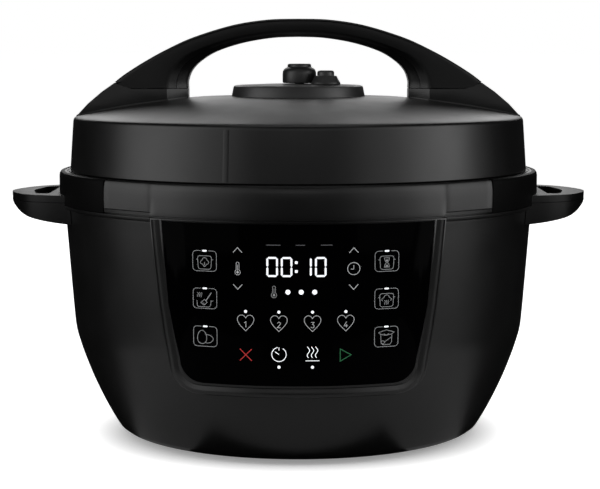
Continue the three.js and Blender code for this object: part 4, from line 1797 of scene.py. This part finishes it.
@dataclass
class Valves:
    """Steam release valve, quick-release button and float pin."""

    finishes: Finishes
    lid: Lid

    def build(self) -> None:
        """Build every piece."""
        at = (self.lid.valve_x, 0.0)
        f = self.finishes

        cap = [(0.0, 258.4), (4.3, 258.4), (4.3, 249.1), (11.2, 249.1), (11.8, 249.5),
               (12.0, 250.3), (12.0, 255.6), (11.8, 257.2), (11.2, 258.6), (10.3, 259.5),
               (9.2, 260.1), (8.6, 260.5), (8.4, 261.1), (8.4, 262.0), (8.0, 262.6),
               (7.2, 262.8), (4.7, 262.8), (4.2, 262.3), (0.0, 262.1)]
        # The valve cap takes the lighter valve finish, whose grey is painted light.
        Shape().revolve(cap, 96, at).finish(
            "steam_valve_cap", Body.VALVE, Slot.BODY, f.valve, ["steam_valve"], smooth_angle=30.0)
        pipe = [(1.6, 198.0), (3.2, 198.0), (3.4, 198.3), (3.4, 205.4), (8.6, 205.4), (9.0, 205.8),
                (9.0, 206.6), (8.6, 207.0), (3.4, 207.0), (3.4, 255.6), (2.6, 258.0), (1.6, 258.0)]
        Shape().revolve(pipe, 48, at).finish(
            "steam_pipe_tube", Body.LID, Slot.STEEL, f.spun, ["steam_pipe"], smooth_angle=30.0)
        x, y = self.lid.button_at
        base = [(6.6, 248.2), (10.3, 248.2), (10.5, 248.8), (10.2, 249.8), (9.6, 250.9),
                (8.7, 252.3), (8.1, 253.6), (7.7, 254.3), (7.0, 254.6), (6.6, 254.3)]
        Shape().revolve(base, 72, (x, y)).finish(
            "button_collar", Body.LID, Slot.TRIM, f.valve, ["button_base"], smooth_angle=35.0)
        button = [(0.0, 240.2), (1.9, 240.2), (2.2, 240.6), (2.2, 250.6), (5.2, 250.6),
                  (5.2, 246.8), (6.0, 246.8),
                  (6.0, 256.6), (5.8, 257.4), (5.2, 258.0), (4.4, 258.2), (3.4, 258.1),
                  (0.0, 257.7)]
        Shape().revolve(button, 72, (x, y)).finish(
            "release_button_cap", Body.BUTTON, Slot.BODY, f.valve, ["quick_release_button"],
            smooth_angle=35.0)
        coil_spring("release_button_spring", (x, y), 4.0, 0.4, 241.8, 246.0, 3, Body.LID, f.wire,
                    "button_spring")
        at = self.lid.float_at
        pin = [(0.0, 195.9), (1.2, 195.9), (1.2, 199.0), (2.4, 199.6), (2.6, 200.2),
               (2.6, 247.2), (2.3, 247.8), (1.7, 248.0), (0.0, 248.0)]
        Shape().revolve(pin, 32, at).finish("float_pin_rod", Body.FLOAT, Slot.STEEL, f.wire,
                                            ["float_valve"], smooth_angle=30.0)
        cap = [(0.0, 192.4), (3.6, 192.4), (4.3, 192.8), (4.9, 193.8), (5.0, 194.6), (4.2, 196.2),
               (4.2, 196.9), (5.0, 197.9), (4.8, 198.5), (1.5, 198.5), (1.5, 195.6), (0.0, 195.6)]
        Shape().revolve(cap, 40, at).finish("float_pin_cap", Body.FLOAT, Slot.SILICONE,
                                            f.silicone, ["float_valve_cap"], smooth_angle=35.0)


# -------------------------------------------------------------- inner pieces
@dataclass
class CookingParts:
    """Locking liner, heating plate, sensor, pot, inner lid and sealing ring."""

    finishes: Finishes
    lugs: int = 6
    lug_width: float = 26.0
    valve_x: float = 0.8
    float_at: Point2 = (-3.0, 27.0)

    def build(self) -> None:
        """Build every piece."""
        self.liner()
        self.heater()
        self.pot()
        self.inner_lid()
        self.seal()
        self.shield()

    def lug(self, inner: float, outer: float, z0: float, z1: float, number: int) -> Shape:
        """One locking lug.

        Args:
            inner: Inner radius.
            outer: Outer radius.
            z0: Lower height.
            z1: Upper height.
            number: Which of the evenly spaced lugs.

        Returns:
            The lug's shape.
        """
        middle = 360.0 * number / self.lugs
        low, high = middle - self.lug_width / 2, middle + self.lug_width / 2
        turns = [math.radians(low + (high - low) * i / 16) for i in range(17)]
        ease = [outer - 1.2 if i in (0, 16) else outer for i in range(17)]
        outline = [(r * math.sin(t), -r * math.cos(t)) for t, r in zip(turns, ease)]
        outline += [(inner * math.sin(t), -inner * math.cos(t)) for t in reversed(turns)]
        return Shape().prism(outline, z0, z1, upright)

    def liner(self) -> None:
        """Steel liner with outward lugs and a rolled lip."""
        profile = [(137.5, 183.7), (137.8, 184.0), (138.7, 184.0), (139.0, 183.7), (139.0, 60.0),
                   (138.6, 56.0), (137.0, 50.8), (134.0, 45.0), (129.8, 40.8), (124.0, 38.0),
                   (22.0, 38.0), (22.0, 39.4), (123.5, 39.4), (128.6, 41.9), (132.5, 46.0),
                   (135.5, 51.8), (137.1, 56.6), (137.5, 60.4)]
        lugs = [self.lug(138.2, 146.0, 178.0, 180.5, n) for n in range(self.lugs)]
        Shape().revolve(profile, 192).finish(
            "locking_liner", Body.BASE, Slot.STEEL, self.finishes.steel, ["outer_pot"],
            smooth_angle=32.0, joins=lugs)

    def heater(self) -> None:
        """Cast heating plate with turned rings, sensor and its spring."""
        rings = [(102.0, 47.0)]
        for radius in range(96, 24, -8):
            rings += [(radius + 1.0, 47.0), (radius + 0.5, 46.6), (radius - 0.5, 46.6),
                      (radius - 1.0, 47.0)]
        profile = [(16.0, 40.2), (16.4, 39.8), (105.6, 39.8), (107.4, 40.8), (108.0, 42.0),
                   (107.6, 44.6), (106.0, 46.2)] + rings + [(16.6, 47.0), (16.0, 46.4)]
        Shape().revolve(profile, 160).finish(
            "cast_heater", Body.BASE, Slot.ALLOY, self.finishes.alloy, ["heating_plate"],
            smooth_angle=30.0)
        cup = [(0.0, 36.0), (4.6, 36.0), (4.6, 38.2), (7.4, 38.2), (7.4, 36.0), (12.2, 36.0),
               (12.5, 36.3), (12.5, 37.1), (12.2, 37.4), (9.0, 37.4), (9.0, 45.6), (8.7, 46.5),
               (7.9, 47.0), (0.0, 47.0)]
        Shape().revolve(cup, 64).finish("sensor_cup", Body.SENSOR, Slot.ALLOY,
                                        self.finishes.spun, ["temperature_sensor"],
                                        smooth_angle=32.0)
        coil_spring("sensor_coil", (0.0, 0.0), 6.0, 0.6, 26.9, 35.5, 4, Body.BASE,
                    self.finishes.wire, "sensor_spring")

    def pot(self) -> None:
        """Drawn steel pot with a rounded floor edge, rim and pressed fill rings."""
        outer = [(0.0, 48.0), (60.0, 47.6), (100.0, 47.3), (110.0, 47.7), (118.6, 49.5),
                 (125.0, 52.8), (129.6, 57.6), (132.3, 63.4), (133.0, 69.0), (133.0, 182.6),
                 (133.4, 183.8), (134.4, 184.3), (137.8, 184.3), (138.5, 184.8), (138.6, 185.3),
                 (138.3, 185.8), (137.6, 186.0), (133.0, 186.0), (132.0, 185.6), (131.6, 184.8)]
        marks = []
        for height in (150.0, 132.0, 114.0, 96.0):
            marks += [(131.5, height + 0.7), (131.2, height + 0.35), (131.2, height - 0.35),
                      (131.5, height - 0.7)]
        inner = [(131.5, 183.0)] + marks + [(131.5, 69.4), (130.8, 64.0), (128.4, 58.8),
                                            (124.3, 54.5), (118.2, 51.3), (110.0, 49.6),
                                            (100.0, 49.3), (60.0, 49.6), (0.0, 50.0)]
        Shape().revolve(outer + inner, 224).finish(
            "drawn_inner_pot", Body.POT, Slot.STEEL, self.finishes.spun, ["inner_pot"],
            smooth_angle=32.0)

    def inner_lid(self) -> None:
        """Pressed steel lid with inward lugs, vent holes and its screws."""
        profile = [(0.0, 205.0), (60.0, 204.0), (110.0, 200.2), (132.0, 197.9), (140.0, 196.9),
                   (144.4, 195.0), (147.0, 192.4), (148.4, 189.4), (148.8, 186.6), (148.8, 172.4),
                   (148.4, 172.0), (147.7, 172.0), (147.3, 172.4), (147.3, 186.2), (146.9, 188.7),
                   (145.7, 191.4), (143.2, 193.9), (139.5, 195.5), (131.6, 196.4), (110.0, 198.7),
                   (60.0, 202.5), (0.0, 203.5)]
        lugs = [self.lug(140.5, 148.0, 173.5, 176.0, n) for n in range(self.lugs)]
        holes = [Shape().revolve([(0, 190), (r, 190), (r, 210), (0, 210)], 40, at)
                 for r, at in [(3.9, (self.valve_x, 0.0)), (3.1, self.float_at)]
                 + [(2.2, at) for at in lid_screw_spots()]]
        Shape().revolve(profile, 192).finish(
            "pressed_inner_lid", Body.LID, Slot.STEEL, self.finishes.spun, ["inner_lid"],
            smooth_angle=32.0, joins=lugs, cuts=holes)
        for number, at in enumerate(lid_screw_spots(), start=1):
            pan_screw(at, 197.9, 4.0, 1.8, 12.0).finish(
                f"lid_screw_head_{number}", Body.LID, Slot.STEEL, self.finishes.wire,
                [f"lid_screw_{number}"], cuts=[cross_recess(at, 196.3, 2.4)])

    def seal(self) -> None:
        """Lipped sealing ring and the wire that holds it."""
        profile = [(127.6, 188.5), (128.1, 187.2), (129.2, 186.4), (138.4, 186.4), (139.1, 187.0),
                   (139.3, 188.0), (139.3, 193.8), (139.0, 194.7), (138.3, 195.0), (137.0, 195.0),
                   (136.4, 194.6), (136.1, 191.4), (135.6, 190.6), (129.8, 190.6), (128.3, 190.0)]
        Shape().revolve(profile, 224).finish("lipped_seal", Body.SEAL, Slot.SILICONE,
                                             self.finishes.silicone, ["sealing_ring"],
                                             smooth_angle=35.0)
        Shape().revolve(arc((132.6, 192.8), 1.45, 0, 330, 11), 192).finish(
            "seal_wire_ring", Body.LID, Slot.STEEL, self.finishes.wire, ["ring_rack"],
            smooth_angle=60.0)

    def shield(self) -> None:
        """Slotted cup that keeps food out of the steam pipe."""
        profile = [(0.0, 190.0), (13.4, 190.0), (14.6, 190.5), (15.0, 191.6), (15.0, 202.2),
                   (14.7, 202.6), (14.1, 202.6), (13.8, 202.2), (13.8, 192.0), (13.4, 191.4),
                   (0.0, 191.4)]
        slots = []
        for number in range(9):
            turn = Matrix.Rotation(math.radians(20 * number), 3, "Z")
            shape = Shape().prism(rectangle(-20, 20, -1.1, 1.1), 193.0, 200.0, upright)
            bmesh.ops.transform(shape.mesh, matrix=turn.to_4x4(), verts=shape.mesh.verts)
            bmesh.ops.translate(shape.mesh, vec=(self.valve_x, 0, 0), verts=shape.mesh.verts)
            slots.append(shape)
        Shape().revolve(profile, 96, (self.valve_x, 0.0)).finish(
            "slotted_steam_shield", Body.LID, Slot.STEEL, self.finishes.spun,
            ["anti_block_shield"], smooth_angle=32.0, cuts=slots)


@dataclass
class Inlet:
    """Rear power inlet with its socket and contact blades."""

    finishes: Finishes
    face: float = 146.0
    middle: float = 28.0

    def build(self) -> None:
        """Build the socket and its blades."""
        body = Shape().prism(rectangle(-14.2, 14.2, self.middle - 13.2, self.middle + 13.2, 1.4),
                             130.5, self.face, frontal)
        mouth = [(-12.0, self.middle - 8.2), (12.0, self.middle - 8.2), (12.0, self.middle + 4.6),
                 (8.4, self.middle + 8.2), (-8.4, self.middle + 8.2), (-12.0, self.middle + 4.6)]
        cavity = Shape().prism(rounded(mouth, [1.2] * 6, 4), self.face - 14.0, self.face + 5.0,
                               frontal)
        body.finish("inlet_socket_body", Body.BASE, Slot.TRIM, self.finishes.trim,
                    ["power_inlet"], bevel=0.4, smooth_angle=35.0, cuts=[cavity])
        for name, x, z in (("live", 7.0, 26.5), ("neutral", -7.0, 26.5), ("earth", 0.0, 30.5)):
            blade = Shape().prism(rectangle(x - 1.0, x + 1.0, z - 2.0, z + 2.0), self.face - 13.7,
                                  self.face - 4.0, frontal)
            blade.finish("inlet_blade_" + name, Body.BASE, Slot.BRASS, self.finishes.brass,
                         ["inlet_pin_" + name], bevel=0.5, smooth_angle=35.0)
        frame = Shape().prism(rectangle(-18.0, 18.0, 11.5, 44.5, 4.0), 128.0, self.face - 0.2,
                              frontal)
        hole = Shape().prism(rectangle(-14.5, 14.5, 14.5, 41.5, 1.6), 100.0, 170.0, frontal)
        clear = Shape().revolve([(0, 5)] + [(r - 1.0, z) for r, z in BaseShell.BOWL[5:12]]
                                + [(0, 60.9)], 200)
        frame.finish("inlet_frame", Body.BASE, Slot.BODY, self.finishes.body,
                     ["inlet_surround"], bevel=0.8, smooth_angle=30.0, cuts=[clear, hole])


INNER_NODES = {
    "display_tray": "trim", "display_board": "laminate", "led_display": "grey_mark",
    "sensor_bracket": "steel", "thermal_fuse": "silicone", "pressure_switch": "trim",
    "power_board": "laminate", "power_relay": "trim", "transformer": "trim",
    "capacitor": "alloy"}


def dress_inner_nodes(frame: dict, finishes: Finishes) -> None:
    """Give the plain electronics inside the base, shown as they are, their finishes.

    Args:
        frame: The loaded frame.
        finishes: The shared finishes.
    """
    for name, finish in INNER_NODES.items():
        node = frame["nodes"][name]
        material = getattr(finishes, finish)
        if not node.material_slots:
            node.data.materials.append(material)
        for place in node.material_slots:
            place.material = material
        LOG.info("%s dressed as %s", name, finish)


# ------------------------------------------------------------------ the room
@dataclass(frozen=True)
class Lamp:
    """Soft rectangular lamp, in metres and watts, aimed at a height above the floor's centre."""

    name: str
    place: Point3
    size: Point2
    power: float
    aim: float = 0.16

    def hang(self) -> None:
        """Add the lamp to the scene, unseen by the camera itself."""
        data = bpy.data.lights.new(self.name, "AREA")
        data.shape = "RECTANGLE"
        data.size, data.size_y = self.size
        data.energy = self.power
        lamp = bpy.data.objects.new(self.name, data)
        lamp.location = self.place
        lamp.visible_camera = False
        towards = Vector((0, 0, self.aim)) - Vector(self.place)
        lamp.rotation_euler = towards.to_track_quat("-Z", "Y").to_euler()
        bpy.context.scene.collection.objects.link(lamp)


@dataclass(frozen=True)
class Bounce:
    """Faint glow from the floor: left, right, front and back edge in metres, and strength."""

    name: str
    span: tuple[float, float, float, float]
    strength: float


@dataclass
class Studio:
    """Pale floor, soft lamps and the camera."""

    height: float = 0.2754
    distance: float = 1.3
    lens: float = 108.8
    pitch: float = 6.25
    roll: float = 0.01
    aside: float = 0.00125
    floor_reach: float = 60.0
    floor_level: float = -0.0002
    bounce_level: float = -0.0006
    # Floor glow by distance from the centre: a painted contact shadow under the object that fades
    # to plain white further out.
    shade: tuple[tuple[str, float], ...] = (("From Min", 0.122), ("From Max", 0.155),
                                            ("To Min", 0.26), ("To Max", 1.0))
    lamps: tuple[Lamp, ...] = (
        Lamp("key_left", (-1.43, -0.48, 0.49), (1.1, 1.16), 8.8),
        Lamp("key_right", (1.43, -0.48, 0.49), (0.9, 1.16), 9.4),
        Lamp("fill_left", (-0.96, -1.15, 0.62), (0.8, 1.3), 3.2),
        Lamp("fill_right", (0.96, -1.15, 0.62), (0.8, 1.3), 3.2),
        Lamp("top_left", (-0.48, 1.45, 1.00), (0.7, 0.9), 3.3, 0.22),
        Lamp("top_right", (0.48, 1.45, 1.00), (0.7, 0.9), 3.3, 0.22),
        Lamp("top_back", (0.0, 1.50, 1.05), (0.5, 0.8), 0.5, 0.22),
        Lamp("front", (0.0, -1.7, 0.7), (1.0, 0.6), 1.6),
        Lamp("overhead", (0.0, -0.1, 1.8), (1.2, 1.2), 4.0, 0.2),
        Lamp("back", (0.0, 2.0, 0.45), (1.1, 1.1), 3.0))
    bounces: tuple[Bounce, ...] = (
        Bounce("bounce_left", (-0.32, -0.075, -0.34, -0.055), 0.05),
        Bounce("bounce_right", (0.075, 0.32, -0.34, -0.055), 0.06),
        Bounce("bounce_front", (-0.075, 0.075, -0.30, -0.135), 0.035),
        Bounce("bounce_back", (-0.20, 0.20, 0.17, 0.60), 0.14))

    def build(self) -> None:
        """Build floor, lamps, surroundings and camera."""
        self.floor()
        self.surroundings()
        for lamp in self.lamps:
            lamp.hang()
        self.camera()

    def floor(self) -> None:
        """Plain pale floor that glows white, darker right under the object where its glow is
        turned down as a painted contact shadow, and its soft bounce in front.
        """
        material, tree, shader = _nodes("pale_floor")
        tone = _tint(tree, _noise(tree, 3.0, 2.0), (0.90, 0.90, 0.90), (0.92, 0.92, 0.92))
        tree.links.new(tone, shader.inputs["Base Color"])
        shader.inputs["Roughness"].default_value = 0.9
        shader.inputs["Specular IOR Level"].default_value = 0.0
        shader.inputs["Emission Color"].default_value = (1, 1, 1, 1)
        place = tree.nodes.new("ShaderNodeTexCoord")
        away = tree.nodes.new("ShaderNodeVectorMath")
        away.operation = "LENGTH"
        tree.links.new(place.outputs["Object"], away.inputs[0])
        # Glow turned down near the object's foot: painted contact shadow.
        painted_shadow = tree.nodes.new("ShaderNodeMapRange")
        for name, value in self.shade:
            painted_shadow.inputs[name].default_value = value
        tree.links.new(away.outputs["Value"], painted_shadow.inputs["Value"])
        tree.links.new(painted_shadow.outputs["Result"], shader.inputs["Emission Strength"])
        reach = self.floor_reach
        floor = self.sheet("floor", (-reach, reach, -reach, reach), self.floor_level, material)
        floor.visible_glossy = False
        floor.visible_diffuse = False
        floor.visible_shadow = False
        for bounce in self.bounces:
            glow, tree, shader = _nodes(bounce.name)
            shader.inputs["Emission Color"].default_value = (1, 1, 1, 1)
            shader.inputs["Emission Strength"].default_value = bounce.strength
            self.sheet(bounce.name, bounce.span, self.bounce_level, glow).visible_camera = False

    def sheet(self, name: str, span: tuple[float, float, float, float], height: float,
              material: Material) -> Piece:
        """Level sheet that is part of the stage.

        Args:
            name: Name of the sheet.
            span: Left, right, front and back edge in metres.
            height: Height in metres.
            material: Finish.

        Returns:
            The sheet.
        """
        left, right, front, back = span
        shape = bmesh.new()
        corners = [(left, front), (right, front), (right, back), (left, back)]
        shape.faces.new([shape.verts.new((x, y, height)) for x, y in corners])
        data = bpy.data.meshes.new(name)
        shape.to_mesh(data)
        shape.free()
        data.materials.append(material)
        made = bpy.data.objects.new(name, data)
        bpy.context.scene.collection.objects.link(made)
        return made

    def surroundings(self) -> None:
        """White behind the object, dimmer light from all round."""
        scene = bpy.context.scene
        world = bpy.data.worlds.new("studio")
        scene.world = world
        world.use_nodes = True
        tree = world.node_tree
        plain = tree.nodes["Background"]
        plain.inputs["Color"].default_value = (1, 1, 1, 1)
        plain.inputs["Strength"].default_value = 0.004
        seen = tree.nodes.new("ShaderNodeBackground")
        seen.inputs["Color"].default_value = (1, 1, 1, 1)
        seen.inputs["Strength"].default_value = 1.0
        path = tree.nodes.new("ShaderNodeLightPath")
        mix = tree.nodes.new("ShaderNodeMixShader")
        tree.links.new(path.outputs["Is Camera Ray"], mix.inputs["Fac"])
        tree.links.new(plain.outputs["Background"], mix.inputs[1])
        tree.links.new(seen.outputs["Background"], mix.inputs[2])
        tree.links.new(mix.outputs["Shader"], tree.nodes["World Output"].inputs["Surface"])
        scene.view_settings.view_transform = "Standard"

    def camera(self) -> None:
        """Camera in front, slightly above the lid, looking a little down."""
        data = bpy.data.cameras.new("camera")
        data.lens = self.lens
        data.sensor_width = 36.0
        data.clip_end = 60.0
        camera = bpy.data.objects.new("camera", data)
        camera.location = (self.aside, -self.distance, self.height)
        camera.rotation_euler = (math.radians(90 - self.pitch), math.radians(self.roll), 0.0)
        bpy.context.scene.collection.objects.link(camera)
        bpy.context.scene.camera = camera


def main() -> None:
    """Load the frame, dress every sub-assembly and set up the studio."""
    logging.basicConfig(level=logging.INFO, format="%(message)s")
    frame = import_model()
    finishes = Finishes()
    panel = ControlPanel(finishes)
    lid = Lid(finishes)
    for part in (BaseShell(finishes), SideHandles(finishes), panel, PanelArt(finishes, panel),
                 Inlet(finishes), CookingParts(finishes), lid, Valves(finishes, lid), Studio()):
        LOG.info("building %s", type(part).__name__)
        part.build()
    dress_inner_nodes(frame, finishes)


if __name__ == "__main__":
    main()
